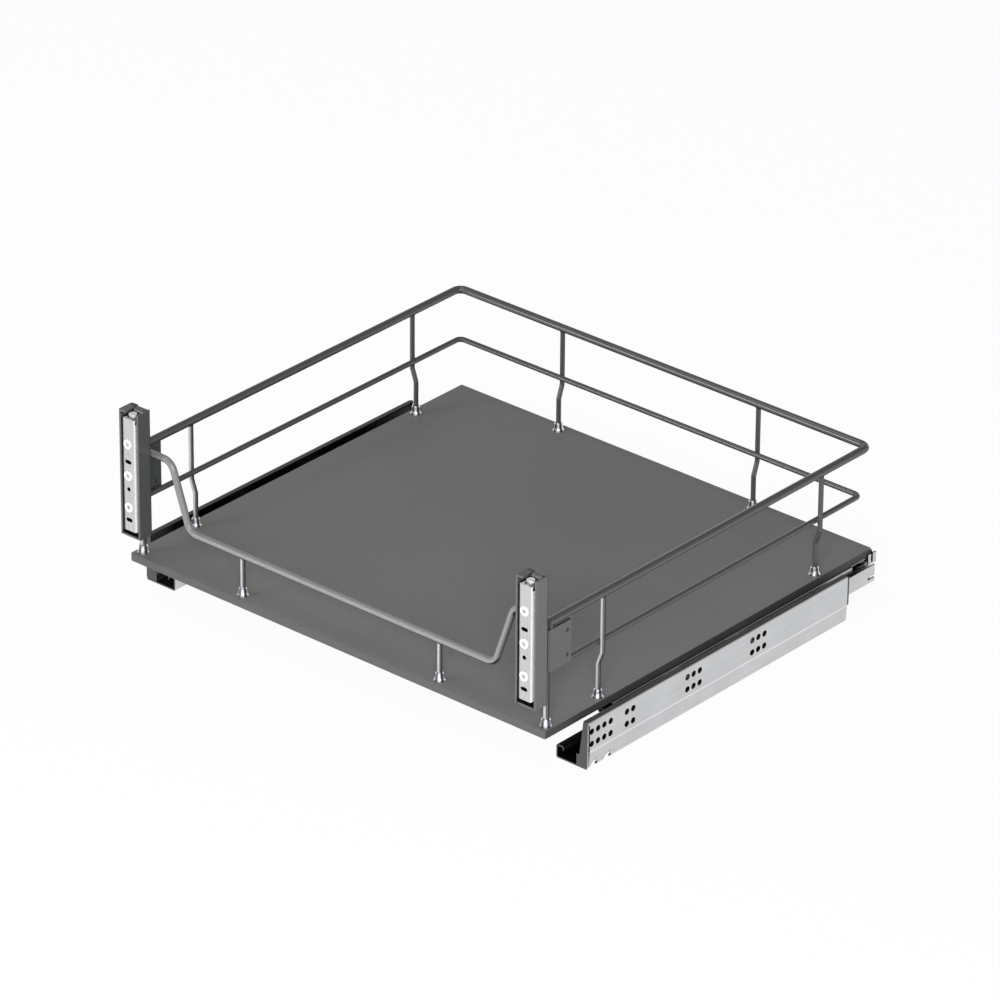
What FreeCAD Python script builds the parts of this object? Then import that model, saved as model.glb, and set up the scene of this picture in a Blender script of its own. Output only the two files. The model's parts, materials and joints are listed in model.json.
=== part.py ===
import FreeCAD, Part
import math
import os

# Pull-out shelf drawer with a wire gallery, carried by a pair of concealed full-extension slides.
# While it is modelled, X = 0 is the middle plane, Y = 0 the front edge of the shelf board with +Y
# to the rear, and Z = 0 the top of the board. At the end every piece is shifted so that the origin
# is the middle of the footprint, on the surface that the cabinet profiles stand on.

V = FreeCAD.Vector

# Cabinet and shelf board
cabinet_clear_width = 564.0
board_side_gap = 18.6
board_depth = 483.0
board_thickness = 8.0
board_corner_radius = 1.5

# Wire gallery
top_rail_diameter = 8.0
top_rail_height = 111.4
lower_rail_diameter = 5.5
lower_rail_height = 58.8
front_rail_diameter = 7.0
front_rail_drop_height = 42.5
front_rail_leg_inset = 70.3
front_rail_leg_slope = 19.0
front_rail_bend = 13.0
rail_corner_radius = 8.5
lower_rail_corner_radius = 6.0
post_diameter = 5.0
bracket_post_diameter = 6.0
weld_setdown = 0.3
rear_rail_inset = 6.5
side_post_front = 83.8
side_post_rear_inset = 78.0
cross_post_offset = 125.0
joggle_top = 49.0
joggle_bottom = 35.0
joggle_bend = 3.5

# Feet of the posts
collar_diameter = 11.6
collar_neck_diameter = 8.6
collar_height = 8.6
collar_fit = 0.05
screw_diameter = 3.0
screw_head_diameter = 6.0
screw_head_height = 1.6
screw_grip = 10.0
screw_clearance = 0.1
hex_key_size = 2.0
hex_key_depth = 1.1

# Front brackets
bracket_width = 24.9
bracket_depth = 18.0
bracket_height = 134.3
bracket_lift = 27.0
bracket_reach = 13.0
bracket_inset = 0.9
bracket_sheet = 2.0
bracket_bend = 0.8
bracket_foot_lip = 9.0
top_flap_width = 8.4
top_flap_length = 13.8
top_slit = 1.4
tongue_drop = 5.3
tongue_upper_length = 5.0
plate_sheet = 2.0
plate_rail_gap = 3.9
plate_bottom = 59.5
plate_length = 32.0
plate_lip_width = 10.5
plate_tab_bottom = 65.0
plate_tab_height = 19.0
tab_start = 11.0
tab_length = 23.5
tab_bottom = 57.8
tab_sheet = 2.0
rivet_diameter = 3.2
rivet_head_diameter = 4.6
rivet_head_height = 0.6
rivet_drop = 9.3
rivet_inset = 5.7
rivet_rise = 8.7

# Fixing plates for the front panel
fixing_recess = 1.5
fixing_sheet = 1.5
fixing_width = 15.5
fixing_return = 4.0
fixing_side_gap = 0.4
fixing_height = 120.0
fixing_lift = 5.4
fixing_lip_depth = 6.8
fixing_relief = 5.0
adjust_travel = 1.5
clamp_pitch = 34.0
first_clamp_drop = 26.7
slot_drop_upper = 19.2
hole_drop = 14.6
slot_drop_lower = 13.6
fixing_slot_length = 8.0
fixing_slot_width = 4.0
fixing_hole_diameter = 4.4
clamp_shift = 0.5
clamp_bolt_diameter = 4.4
clamp_collar_diameter = 9.6
clamp_collar_proud = 1.0
clamp_sleeve_diameter = 7.4
clamp_fit = 0.1
clamp_nut_size = 7.0
clamp_nut_height = 1.6
clamp_nut_gap = 0.05
height_screw_diameter = 4.0
height_screw_neck = 3.0
height_screw_head_diameter = 8.0
height_screw_head_height = 2.2
height_screw_length = 17.0
height_screw_offset = 0.8
height_screw_setback = 3.8
height_screw_fit = 0.06

# Slides
slide_sheet = 1.5
cabinet_profile_front = 40.0
cabinet_profile_length = 383.5
cabinet_profile_height = 50.1
cabinet_profile_width = 38.8
cabinet_flange_width = 6.4
cabinet_crease_height = 18.5
cabinet_wall_tilt = 1.0
cabinet_floor_bend = 2.4
cabinet_inner_wall_height = 14.4
cabinet_curl_width = 9.2
cabinet_curl_drop = 3.6
front_flange_top_width = 6.4
front_flange_foot_width = 14.2
front_flange_waist_width = 10.8
front_flange_step_height = 13.4
front_flange_gap = 0.6
front_flange_corner = 0.9
rear_lip_length = 3.5
rear_lip_offset = 1.0
mount_hole_diameter = 6.4
mount_hole_pitch = 9.0
mount_row_pitch = 13.0
mount_row_drop = 10.55
first_hole_inset = 4.8
second_group_offset = 50.4
third_group_offset = 138.4
fourth_group_offset = 234.4
notch_radius = 5.0
notch_rise = 1.6
first_notch = 9.6
second_notch = 29.0
notch_relief_inset = 4.2
notch_relief_width = 6.0
notch_relief_tail = 11.0
dimple_diameter = 1.8
dimple_depth = 0.4
dimple_rise = 8.5
dimple_shift = 2.6
roller_diameter = 5.8
roller_fit = 0.1
lower_roller_count = 6
upper_roller_count = 7
cage_wall = 2.2
cage_thickness = 3.0
cage_pocket_gap = 0.3
intermediate_front_inset = 50.0
intermediate_height = 28.0
intermediate_stop_gap = 0.3
intermediate_bottom_width = 15.0
intermediate_top_width = 12.0
intermediate_side_gap = 2.3
drawer_profile_front = 95.0
drawer_profile_rear_inset = 3.0
drawer_inner_gap = 2.3
drawer_top_width = 18.4
drawer_hold_lip = 7.0
end_plate_gap = 0.6
end_plate_drop = 2.5
drawer_inner_wall_depth = 16.5
drawer_gutter_depth = 24.8
drawer_gutter_width = 6.7
drawer_outer_wall_drop = 5.9
drawer_rear_cut = 28.5
drawer_rear_wall_drop = 7.0
drawer_rear_slot_length = 10.5
drawer_rear_slot_width = 2.4
drawer_rear_slot_drop = 18.6
slide_travel = 440.0
lower_cage_front = 155.0
lower_cage_length = 146.0
lower_cage_inset = 1.0
lower_cage_outset = 1.0
upper_cage_front = 205.0
upper_cage_length = 165.0
upper_cage_gap = 1.0
buffer_thickness = 7.7
buffer_rise = 2.5
stop_tab_height = 8.0
stop_tab_width = 12.0
hook_frame_inset = 6.7
hook_frame_length = 12.2
hook_frame_top = 4.8
hook_frame_height = 11.2
hook_window_inset = 4.1
hook_window_length = 4.0
hook_base_height = 1.8
hook_tongue_gap = 0.3
hook_tongue_width = 10.0
hook_tongue_bottom = 14.2
hook_pin_depth = 5.0
hook_pin_diameter = 3.0
hook_pin_length = 6.0
hook_pin_fit = 0.2
hook_pin_reach = 4.9

# Front locking devices under the board
lock_front = 28.0
lock_length = 94.0
lock_width = 35.0
lock_height = 12.0
lock_wall = 2.2
lock_roof = 3.0
lock_gap = 0.3
lock_nose_width = 5.7
lock_nose_start = 70.0
lock_nose_length = 22.0
lock_pin_diameter = 4.0
lock_pin_fit = 0.06
lock_pin_offset = 34.0
lock_pin_inset = 11.0
lever_thickness = 3.6
lever_gap = 0.3
lever_boss_diameter = 11.0
lever_arm_width = 8.0
lever_grip_width = 15.0
lever_grip_length = 16.0
lever_grip_inset = 12.0
tooth_offset = 77.0
tooth_length = 8.0
tooth_reach = 2.3
tooth_slot_margin = 2.0
lever_collar_diameter = 7.0
lever_collar_height = 1.2
lock_screw_inset = 8.0
lock_screw_end = 8.0

# Places that follow from the sizes above
rail_outer = cabinet_clear_width / 2
board_half = rail_outer - board_side_gap
board_under = -board_thickness
bracket_outer = board_half - bracket_inset
bracket_middle = bracket_outer - bracket_width / 2
bracket_front = -bracket_reach
bracket_back = bracket_front + bracket_depth
bracket_top = bracket_lift + bracket_height
lower_rail_x = bracket_outer - plate_sheet - tab_sheet - lower_rail_diameter / 2
post_x = lower_rail_x + lower_rail_diameter / 2 + post_diameter / 2 - weld_setdown
rail_rear_y = board_depth - rear_rail_inset
lower_rail_rear_y = rail_rear_y - (post_x - lower_rail_x)
side_post_rear = board_depth - side_post_rear_inset
front_rail_leg_foot = board_half - front_rail_leg_inset
front_row_y = bracket_back + plate_sheet + bracket_post_diameter / 2
top_rail_front_y = front_row_y - top_rail_diameter / 2
plate_height = top_rail_height - top_rail_diameter / 2 - plate_rail_gap - plate_bottom
rivet_pitch = plate_height - rivet_rise - rivet_drop

roller_space = roller_diameter + 2 * roller_fit
floor_bottom = -(board_thickness + 2 * slide_sheet + 2 * roller_space + intermediate_height)
floor_top = floor_bottom + slide_sheet
intermediate_bottom = floor_top + roller_space
intermediate_top = intermediate_bottom + intermediate_height
channel_inner = rail_outer - cabinet_profile_width
cabinet_profile_back = cabinet_profile_front + cabinet_profile_length
drawer_inner = channel_inner + slide_sheet + drawer_inner_gap
gutter_inner = drawer_inner + drawer_top_width - slide_sheet
drawer_outer = gutter_inner + drawer_gutter_width
drawer_profile_back = board_depth - drawer_profile_rear_inset
drawer_profile_length = drawer_profile_back - drawer_profile_front
intermediate_front = cabinet_profile_front + intermediate_front_inset
intermediate_back = cabinet_profile_back - slide_sheet - buffer_thickness - intermediate_stop_gap
intermediate_length = intermediate_back - intermediate_front
intermediate_inner = channel_inner + slide_sheet + intermediate_side_gap
intermediate_outer = intermediate_inner + intermediate_bottom_width
hook_frame_front = board_depth - hook_frame_inset
hook_back = hook_frame_front + hook_frame_length
shift_y = -(bracket_front + hook_back) / 2
shift_z = -floor_bottom

parts = {}


def keep(name, shape):
    """Stores a finished piece under its node name."""
    parts[name] = shape.removeSplitter() if len(shape.Solids) == 1 else shape


def mirrored(shape):
    """The same piece on the other side of the middle plane."""
    return shape.mirror(V(0, 0, 0), V(1, 0, 0))


def box(x0, x1, y0, y1, z0, z1):
    """A block between two corners."""
    return Part.makeBox(x1 - x0, y1 - y0, z1 - z0, V(x0, y0, z0))


def rod_between(start, end, diameter):
    """A straight round bar from one point to another."""
    run = end - start
    return Part.makeCylinder(diameter / 2, run.Length, start, run)


def rounded_path(points, radius):
    """Straight runs through the points, joined by arcs of one radius at the corners."""
    edges = []
    start = points[0]
    for before, corner, after in zip(points, points[1:], points[2:]):
        into = (corner - before).normalize()
        out = (after - corner).normalize()
        turn = into.getAngle(out)
        back = radius * math.tan(turn / 2)
        arc_start = corner - into * back
        arc_end = corner + out * back
        bisector = (out - into).normalize()
        arc_middle = corner + bisector * (radius / math.cos(turn / 2) - radius)
        edges.append(Part.LineSegment(start, arc_start).toShape())
        edges.append(Part.Arc(arc_start, arc_middle, arc_end).toShape())
        start = arc_end
    edges.append(Part.LineSegment(start, points[-1]).toShape())
    return Part.Wire(edges)


def bent_rod(points, diameter, radius):
    """A round wire bent along the points."""
    path = rounded_path(points, radius)
    ring = Part.Wire(Part.Circle(points[0], points[1] - points[0], diameter / 2).toShape())
    return path.makePipeShell([ring], True, True)


def folded_strip(points, thickness, inner_radius, place, run):
    """Folded sheet: the middle line of its section, thickened both ways and carried along run."""
    sides = {1: [], -1: []}
    flat = [V(u, v, 0) for u, v in points]
    half = thickness / 2
    corners = len(points) - 2
    radii = inner_radius if isinstance(inner_radius, list) else [inner_radius] * corners
    for sign in sides:
        edges = sides[sign]
        first = (flat[1] - flat[0]).normalize()
        cursor = flat[0] + V(-first.y, first.x, 0) * half * sign
        for before, corner, after, inside in zip(flat, flat[1:], flat[2:], radii):
            radius = inside + half
            into = (corner - before).normalize()
            out = (after - corner).normalize()
            turn = into.getAngle(out)
            left = 1 if into.x * out.y - into.y * out.x > 0 else -1
            back = radius * math.tan(turn / 2)
            centre = corner - into * back + V(-into.y, into.x, 0) * radius * left
            reach = radius - half * sign * left
            arc_start = centre - V(-into.y, into.x, 0) * reach * left
            arc_end = centre - V(-out.y, out.x, 0) * reach * left
            arc_middle = centre + ((arc_start + arc_end) * 0.5 - centre).normalize() * reach
            edges.append((cursor, arc_start))
            edges.append((arc_start, arc_middle, arc_end))
            cursor = arc_end
        last = (flat[-1] - flat[-2]).normalize()
        edges.append((cursor, flat[-1] + V(-last.y, last.x, 0) * half * sign))
    left_start, left_end = sides[1][0][0], sides[1][-1][-1]
    right_start, right_end = sides[-1][0][0], sides[-1][-1][-1]
    outline = sides[1] + [(left_end, right_end)] + sides[-1] + [(right_start, left_start)]
    edges = []
    for spots in outline:
        spots = [place(spot.x, spot.y) for spot in spots]
        if len(spots) == 3:
            edges.append(Part.Arc(*spots).toShape())
        else:
            edges.append(Part.LineSegment(*spots).toShape())
    return Part.Face(Part.Wire(Part.__sortEdges__(edges))).extrude(run)


def outline_solid(points, run):
    """A flat outline carried along run."""
    return Part.Face(Part.makePolygon(points + points[:1])).extrude(run)


def slot_solid(centre, length, width, depth, along, axis):
    """A round-ended slot cutter, centred on a point."""
    side = axis.cross(along)
    half = (length - width) / 2
    start = centre - axis * depth / 2
    body = outline_solid([start + along * a * half + side * b * width / 2
                          for a, b in ((-1, -1), (1, -1), (1, 1), (-1, 1))], axis * depth)
    for end in (-half, half):
        body = body.fuse(Part.makeCylinder(width / 2, depth, start + along * end, axis))
    return body


def hexagon(across_flats, depth, centre, axis=V(0, 0, 1)):
    """A hexagonal prism standing on a centre point."""
    corner = across_flats / math.sqrt(3)
    across = V(0, 0, 1).cross(axis)
    first = across if across.Length > 0.5 else V(1, 0, 0)
    points = []
    for step in range(6):
        turned = FreeCAD.Rotation(axis, 60 * step).multVec(first)
        points.append(centre + turned * corner)
    return outline_solid(points, axis * depth)


def turned_solid(profile, x, y):
    """A turned piece: radius and height pairs revolved about an upright axis."""
    points = [V(radius, 0, height) for radius, height in profile]
    solid = Part.Face(Part.makePolygon(points + points[:1])).revolve(V(0, 0, 0), V(0, 0, 1), 360)
    return solid.translated(V(x, y, 0))


def at_xz(y):
    """Places a section drawn in X and Z at one depth."""
    return lambda u, v: V(u, y, v)


def at_yz(x):
    """Places a section drawn in Y and Z at one width."""
    return lambda u, v: V(x, u, v)


def at_xy(z):
    """Places a section drawn in X and Y at one height."""
    return lambda u, v: V(u, v, z)


# Feet: where each post meets the board
side_feet = [(side * lower_rail_x, y) for side in (-1, 1) for y in (side_post_front, side_post_rear)]
rear_feet = [(side * cross_post_offset, lower_rail_rear_y) for side in (-1, 1)]
front_feet = [(side * cross_post_offset, front_row_y) for side in (-1, 1)]
bracket_feet = [(side * lower_rail_x, front_row_y) for side in (-1, 1)]
all_feet = side_feet + rear_feet + front_feet + bracket_feet


def foot_screw(x, y, extra=0.0):
    """Countersunk screw from below the board into the foot of a post."""
    radius = screw_diameter / 2 + extra
    head = screw_head_diameter / 2 + extra
    return turned_solid([(0, board_under), (head, board_under),
                         (radius, board_under + screw_head_height + extra),
                         (radius, screw_grip + extra), (0, screw_grip + extra)], x, y)


def make_board():
    """Flat shelf with rounded corners, countersunk holes and two hook bores at the rear."""
    board = box(-board_half, board_half, 0, board_depth, board_under, 0)
    upright = [e for e in board.Edges if abs(e.Vertexes[0].Z - e.Vertexes[1].Z) > 1]
    board = board.makeFillet(board_corner_radius, upright)
    for x, y in all_feet:
        board = board.cut(foot_screw(x, y, screw_clearance / 2))
    for side in (-1, 1):
        bore = rod_between(V(side * hook_pin_x, board_depth + 1, hook_pin_z),
                           V(side * hook_pin_x, board_depth - hook_pin_length - 1, hook_pin_z),
                           hook_pin_diameter + 2 * hook_pin_fit)
        board = board.cut(bore)
        for y in lock_screw_ys:
            board = board.cut(lock_screw(side, y, screw_clearance / 2))
    return board


def make_gallery():
    """Rails and posts, each a separate wire that is welded to its neighbours."""
    top = bent_rod([V(-post_x, top_rail_front_y, top_rail_height),
                    V(-post_x, rail_rear_y, top_rail_height),
                    V(post_x, rail_rear_y, top_rail_height),
                    V(post_x, top_rail_front_y, top_rail_height)],
                   top_rail_diameter, rail_corner_radius)
    lower_start = bracket_back + tab_start + 2.0
    lower = bent_rod([V(-lower_rail_x, lower_start, lower_rail_height),
                      V(-lower_rail_x, lower_rail_rear_y, lower_rail_height),
                      V(lower_rail_x, lower_rail_rear_y, lower_rail_height),
                      V(lower_rail_x, lower_start, lower_rail_height)],
                     lower_rail_diameter, lower_rail_corner_radius)
    leg_run = (top_rail_height - front_rail_drop_height) * math.tan(math.radians(front_rail_leg_slope))
    leg_head = front_rail_leg_foot + leg_run
    front = bent_rod([V(-post_x, front_row_y, top_rail_height),
                      V(-leg_head, front_row_y, top_rail_height),
                      V(-front_rail_leg_foot, front_row_y, front_rail_drop_height),
                      V(front_rail_leg_foot, front_row_y, front_rail_drop_height),
                      V(leg_head, front_row_y, top_rail_height),
                      V(post_x, front_row_y, top_rail_height)],
                     front_rail_diameter, front_rail_bend)
    front = front.cut(top)
    keep("top_rail", top)
    keep("lower_rail", lower)
    keep("front_rail", front)
    for names, feet, outward in (
            (("left_front_post", "left_rear_post"), side_feet[:2], V(-1, 0, 0)),
            (("right_front_post", "right_rear_post"), side_feet[2:], V(1, 0, 0)),
            (("rear_left_post", "rear_right_post"), rear_feet, V(0, 1, 0))):
        for name, (x, y) in zip(names, feet):
            foot = V(x, y, 0)
            step = outward * (post_x - lower_rail_x)
            post = bent_rod([foot, foot + V(0, 0, joggle_bottom),
                             foot + step + V(0, 0, joggle_top),
                             foot + step + V(0, 0, top_rail_height)],
                            post_diameter, joggle_bend)
            keep(name, bored(post.cut(top).cut(lower), x, y))
    for name, (x, y) in zip(("front_left_post", "front_right_post"), front_feet):
        post = rod_between(V(x, y, 0), V(x, y, front_rail_drop_height), post_diameter)
        keep(name, bored(post.cut(front), x, y))
    for name, (x, y) in zip(("left_bracket_post", "right_bracket_post"), bracket_feet):
        post = rod_between(V(x, y, 0), V(x, y, top_rail_height), bracket_post_diameter)
        keep(name, bored(post.cut(front).cut(top), x, y))
    return top, lower


def bored(post, x, y):
    """Adds the screw's blind bore to the foot of a post, and keeps its largest piece."""
    depth = screw_grip + 1.0
    bore = rod_between(V(x, y, 0), V(x, y, depth), screw_diameter + screw_clearance)
    post = post.cut(bore)
    return max(post.Solids, key=lambda solid: solid.Volume)


def make_feet():
    """Bell-shaped chrome collars over the screws, one for each post."""
    collars = []
    screws = []
    for x, y in all_feet:
        wide = (x, y) in bracket_feet
        bore = (bracket_post_diameter if wide else post_diameter) / 2 + collar_fit
        neck = collar_neck_diameter / 2 + (bracket_post_diameter - post_diameter) / 2 * wide
        foot = collar_diameter / 2
        profile = [(bore, 0), (foot, 0), (foot, 0.9), (foot - 0.5, 1.6), (neck + 0.35, 3.2),
                   (neck, 5.0), (neck - 0.1, collar_height - 1.3),
                   (neck - 0.7, collar_height - 0.4), (neck - 1.2, collar_height),
                   (bore, collar_height)]
        collars.append(turned_solid(profile, x, y))
        key = hexagon(hex_key_size, hex_key_depth, V(x, y, board_under))
        screws.append(foot_screw(x, y).cut(key))
    keep("foot_collars", Part.makeCompound(collars))
    keep("foot_screws", Part.makeCompound(screws))


def make_bracket(middle):
    """Upright channel open to the front, its top closed by a flap and a stepped tongue."""
    half = bracket_width / 2 - bracket_sheet / 2
    back = bracket_back - bracket_sheet / 2
    section = [(middle - half, bracket_front), (middle - half, back),
               (middle + half, back), (middle + half, bracket_front)]
    body = folded_strip(section, bracket_sheet, bracket_bend, at_xy(bracket_lift),
                        V(0, 0, bracket_height))
    inner = bracket_width / 2 - bracket_sheet
    floor = box(middle - inner, middle + inner, bracket_front, bracket_back - bracket_sheet,
                bracket_lift, bracket_lift + bracket_sheet)
    relief = box(middle - inner, middle - inner + top_slit, bracket_front,
                 bracket_back - bracket_sheet - bracket_bend, bracket_lift, bracket_lift + bracket_sheet)
    body = body.fuse(floor.cut(relief).cut(relief.translated(V(2 * inner - top_slit, 0, 0))))
    flap = box(middle - inner - 0.2, middle - bracket_width / 2 + top_flap_width, bracket_front,
               bracket_front + top_flap_length, bracket_top - bracket_sheet, bracket_top)
    body = body.fuse(flap)
    tongue_x0 = middle - bracket_width / 2 + top_flap_width + top_slit
    tongue_x1 = middle + inner - top_slit
    upper = bracket_top - bracket_sheet / 2
    step = bracket_back - bracket_sheet - tongue_upper_length
    tongue = folded_strip([(back, upper - 6.0), (back, upper), (step, upper),
                           (step, upper - tongue_drop), (bracket_front + 0.7, upper - tongue_drop)],
                          bracket_sheet, 0.4, at_yz(tongue_x0), V(tongue_x1 - tongue_x0, 0, 0))
    corner_gap = box(middle - inner, middle + inner, bracket_back - bracket_sheet - 0.01,
                     bracket_back, bracket_top - bracket_sheet - 4.0, bracket_top)
    body = body.cut(corner_gap.cut(box(middle - inner, tongue_x0 - top_slit, bracket_front,
                                       bracket_back, bracket_lift, bracket_top)))
    body = body.fuse(tongue)
    neck_slot = slot_solid(V(middle + height_screw_offset, height_screw_y - 5.0,
                             upper - tongue_drop), height_screw_neck + 10.4,
                           height_screw_neck + 0.4, bracket_sheet * 2, V(0, 1, 0), V(0, 0, 1))
    body = body.cut(neck_slot)
    for z in clamp_heights:
        body = body.cut(slot_solid(V(middle + clamp_offset, bracket_back - bracket_sheet / 2, z),
                                   clamp_bolt_diameter + 2 * adjust_travel + 0.6,
                                   clamp_bolt_diameter + 0.6, bracket_sheet * 2,
                                   V(0, 0, 1), V(0, 1, 0)))
    return body


# Fixing plate places, shared with the bracket behind it
fixing_left = -bracket_width / 2 + bracket_sheet + fixing_side_gap
fixing_front = bracket_front + fixing_recess
fixing_top = bracket_lift + fixing_lift + fixing_height
clamp_offset = fixing_left + fixing_width / 2 - clamp_shift
clamp_heights = [fixing_top - first_clamp_drop - clamp_pitch * step for step in range(3)]
slot_heights = [clamp_heights[0] - slot_drop_upper, clamp_heights[2] - slot_drop_lower]
hole_height = clamp_heights[1] - hole_drop
height_screw_y = fixing_front + height_screw_setback


def make_fixing_plate(middle):
    """Shallow zinc pan with clamp bores, two oblong slots, a round hole and a threaded top lip."""
    inset = fixing_sheet / 2
    x0 = middle + fixing_left
    x1 = x0 + fixing_width
    section = [(x0 + inset, fixing_front + fixing_sheet + fixing_return),
               (x0 + inset, fixing_front + inset), (x1 - inset, fixing_front + inset),
               (x1 - inset, fixing_front + fixing_sheet + fixing_return)]
    bottom = fixing_top - fixing_height
    plate = folded_strip(section, fixing_sheet, 0.4, at_xy(bottom), V(0, 0, fixing_height))
    behind = fixing_front + fixing_sheet
    relief = box(x0, x1, behind, behind + fixing_return + 1, fixing_top - fixing_relief, fixing_top)
    plate = plate.cut(relief)
    lip = box(x0 + fixing_sheet, x1 - 0.6, behind, fixing_front + fixing_lip_depth,
              fixing_top - fixing_sheet, fixing_top)
    plate = plate.fuse(lip)
    thread_x = middle + height_screw_offset
    plate = plate.cut(rod_between(V(thread_x, height_screw_y, fixing_top - fixing_sheet - 1),
                                  V(thread_x, height_screw_y, fixing_top + 1),
                                  height_screw_diameter + 2 * height_screw_fit))
    centre_x = middle + clamp_offset
    for z in clamp_heights:
        plate = plate.cut(rod_between(V(centre_x, fixing_front - 1, z), V(centre_x, behind + 1, z),
                                      clamp_sleeve_diameter + 2 * clamp_fit))
    for z in slot_heights:
        plate = plate.cut(slot_solid(V(centre_x, fixing_front + inset, z), fixing_slot_length,
                                     fixing_slot_width, 2 * fixing_sheet, V(1, 0, 0), V(0, 1, 0)))
    return plate.cut(rod_between(V(centre_x, fixing_front - 1, hole_height),
                                 V(centre_x, behind + 1, hole_height), fixing_hole_diameter))


def make_clamps(middle):
    """Nylon collars, slotted bolts and nuts that clamp a fixing plate to its bracket."""
    collars = []
    bolts = []
    nuts = []
    x = middle + clamp_offset
    face = fixing_front - clamp_collar_proud
    web_front = bracket_back - bracket_sheet
    for z in clamp_heights:
        collar = rod_between(V(x, face, z), V(x, fixing_front, z), clamp_collar_diameter)
        collar = collar.fuse(rod_between(V(x, fixing_front, z), V(x, web_front - clamp_fit, z),
                                         clamp_sleeve_diameter))
        bore = rod_between(V(x, face - 1, z), V(x, web_front + 1, z),
                           clamp_bolt_diameter + 2 * collar_fit)
        collars.append(collar.cut(bore))
        nut_front = bracket_back + clamp_nut_gap
        nut_back = nut_front + clamp_nut_height
        bolt = rod_between(V(x, face + 0.2, z), V(x, nut_back, z), clamp_bolt_diameter)
        groove = slot_solid(V(x, face + 0.2, z), clamp_bolt_diameter + 2, 1.0, 1.6,
                            V(0.5, 0, -0.866), V(0, 1, 0))
        bolts.append(bolt.cut(groove))
        reach = clamp_nut_size / 2
        nut = box(x - reach, x + reach, nut_front, nut_back, z - reach, z + reach)
        nuts.append(nut.cut(rod_between(V(x, bracket_back, z), V(x, nut_back + 1, z),
                                        clamp_bolt_diameter + 2 * collar_fit)))
    return Part.makeCompound(collars), Part.makeCompound(bolts), Part.makeCompound(nuts)


def make_height_screw(middle):
    """Slotted screw held by its neck in the tongue, threaded through the fixing plate's lip."""
    x = middle + height_screw_offset
    seat = bracket_top - tongue_drop
    under = seat - bracket_sheet
    head = rod_between(V(x, height_screw_y, seat), V(x, height_screw_y, seat + height_screw_head_height),
                       height_screw_head_diameter)
    neck = rod_between(V(x, height_screw_y, under - 0.1), V(x, height_screw_y, seat), height_screw_neck)
    shank = rod_between(V(x, height_screw_y, under - 0.1 - height_screw_length),
                        V(x, height_screw_y, under - 0.1), height_screw_diameter)
    groove = box(x - 5, x + 5, height_screw_y - 0.5, height_screw_y + 0.5,
                 seat + height_screw_head_height - 0.9, seat + height_screw_head_height + 1)
    return head.fuse(neck).fuse(shank).cut(groove)


def make_bracket_sets(top, lower):
    """Both brackets with what is fastened to them."""
    rivets = []
    for side, word in ((-1, "left"), (1, "right")):
        middle = side * bracket_middle
        keep(word + "_bracket", make_bracket(middle))
        keep(word + "_fixing_plate", make_fixing_plate(middle))
        keep(word + "_height_screw", make_height_screw(middle))
        collars, bolts, nuts = make_clamps(middle)
        keep(word + "_clamp_collars", collars)
        keep(word + "_clamp_screws", bolts)
        keep(word + "_clamp_nuts", nuts)
        plate, tab, pins = connecting_set(top, lower)
        if side < 0:
            plate, tab, pins = mirrored(plate), mirrored(tab), [mirrored(pin) for pin in pins]
        keep(word + "_connecting_plate", plate)
        keep(word + "_gallery_tab", tab)
        rivets += pins
    keep("plate_rivets", Part.makeCompound(rivets))


def connecting_set(top, lower):
    """Angle plate behind the bracket, the tab on the rails behind it, and their two rivets."""
    face = bracket_outer - plate_sheet / 2
    back = bracket_back + plate_sheet / 2
    plate = folded_strip([(bracket_outer - plate_lip_width, back), (face, back),
                          (face, bracket_back + plate_length)],
                         plate_sheet, 0.5, at_xy(plate_bottom), V(0, 0, plate_height))
    for z0, z1 in ((plate_bottom - 1, plate_tab_bottom),
                   (plate_tab_bottom + plate_tab_height, plate_bottom + plate_height + 1)):
        plate = plate.cut(box(bracket_outer - plate_lip_width - 1, bracket_outer - plate_sheet,
                              bracket_back - 1, bracket_back + plate_sheet + 1, z0, z1))
    inner = bracket_outer - plate_sheet - tab_sheet
    tab = box(inner, inner + tab_sheet, bracket_back + tab_start,
              bracket_back + tab_start + tab_length, tab_bottom, top_rail_height)
    tab = tab.cut(top).cut(lower)
    tab = max(tab.Solids, key=lambda solid: solid.Volume)
    pins = []
    y = bracket_back + plate_length - rivet_inset
    for row in range(2):
        z = plate_bottom + rivet_rise + rivet_pitch * row
        shank = rod_between(V(inner, y, z), V(bracket_outer, y, z), rivet_diameter)
        head = Part.makeCone(rivet_head_diameter / 2, rivet_diameter / 2, rivet_head_height,
                             V(bracket_outer, y, z), V(1, 0, 0))
        tail = Part.makeCone(rivet_head_diameter / 2, rivet_diameter / 2, rivet_head_height,
                             V(inner, y, z), V(-1, 0, 0))
        hollow = rod_between(V(inner - 5, y, z), V(bracket_outer + 5, y, z), rivet_diameter / 2)
        pins.append(shank.fuse(head).fuse(tail).cut(hollow))
        hole = rod_between(V(inner - 5, y, z), V(bracket_outer + 5, y, z),
                           rivet_diameter + 2 * collar_fit)
        plate = plate.cut(hole)
        tab = tab.cut(hole)
    return plate, tab, pins


def mount_groups():
    """Start and number of columns of each group of mounting holes, from the profile's front."""
    return [(first_hole_inset, 4), (first_hole_inset + second_group_offset, 2),
            (first_hole_inset + third_group_offset, 3), (first_hole_inset + fourth_group_offset, 3)]


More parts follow.
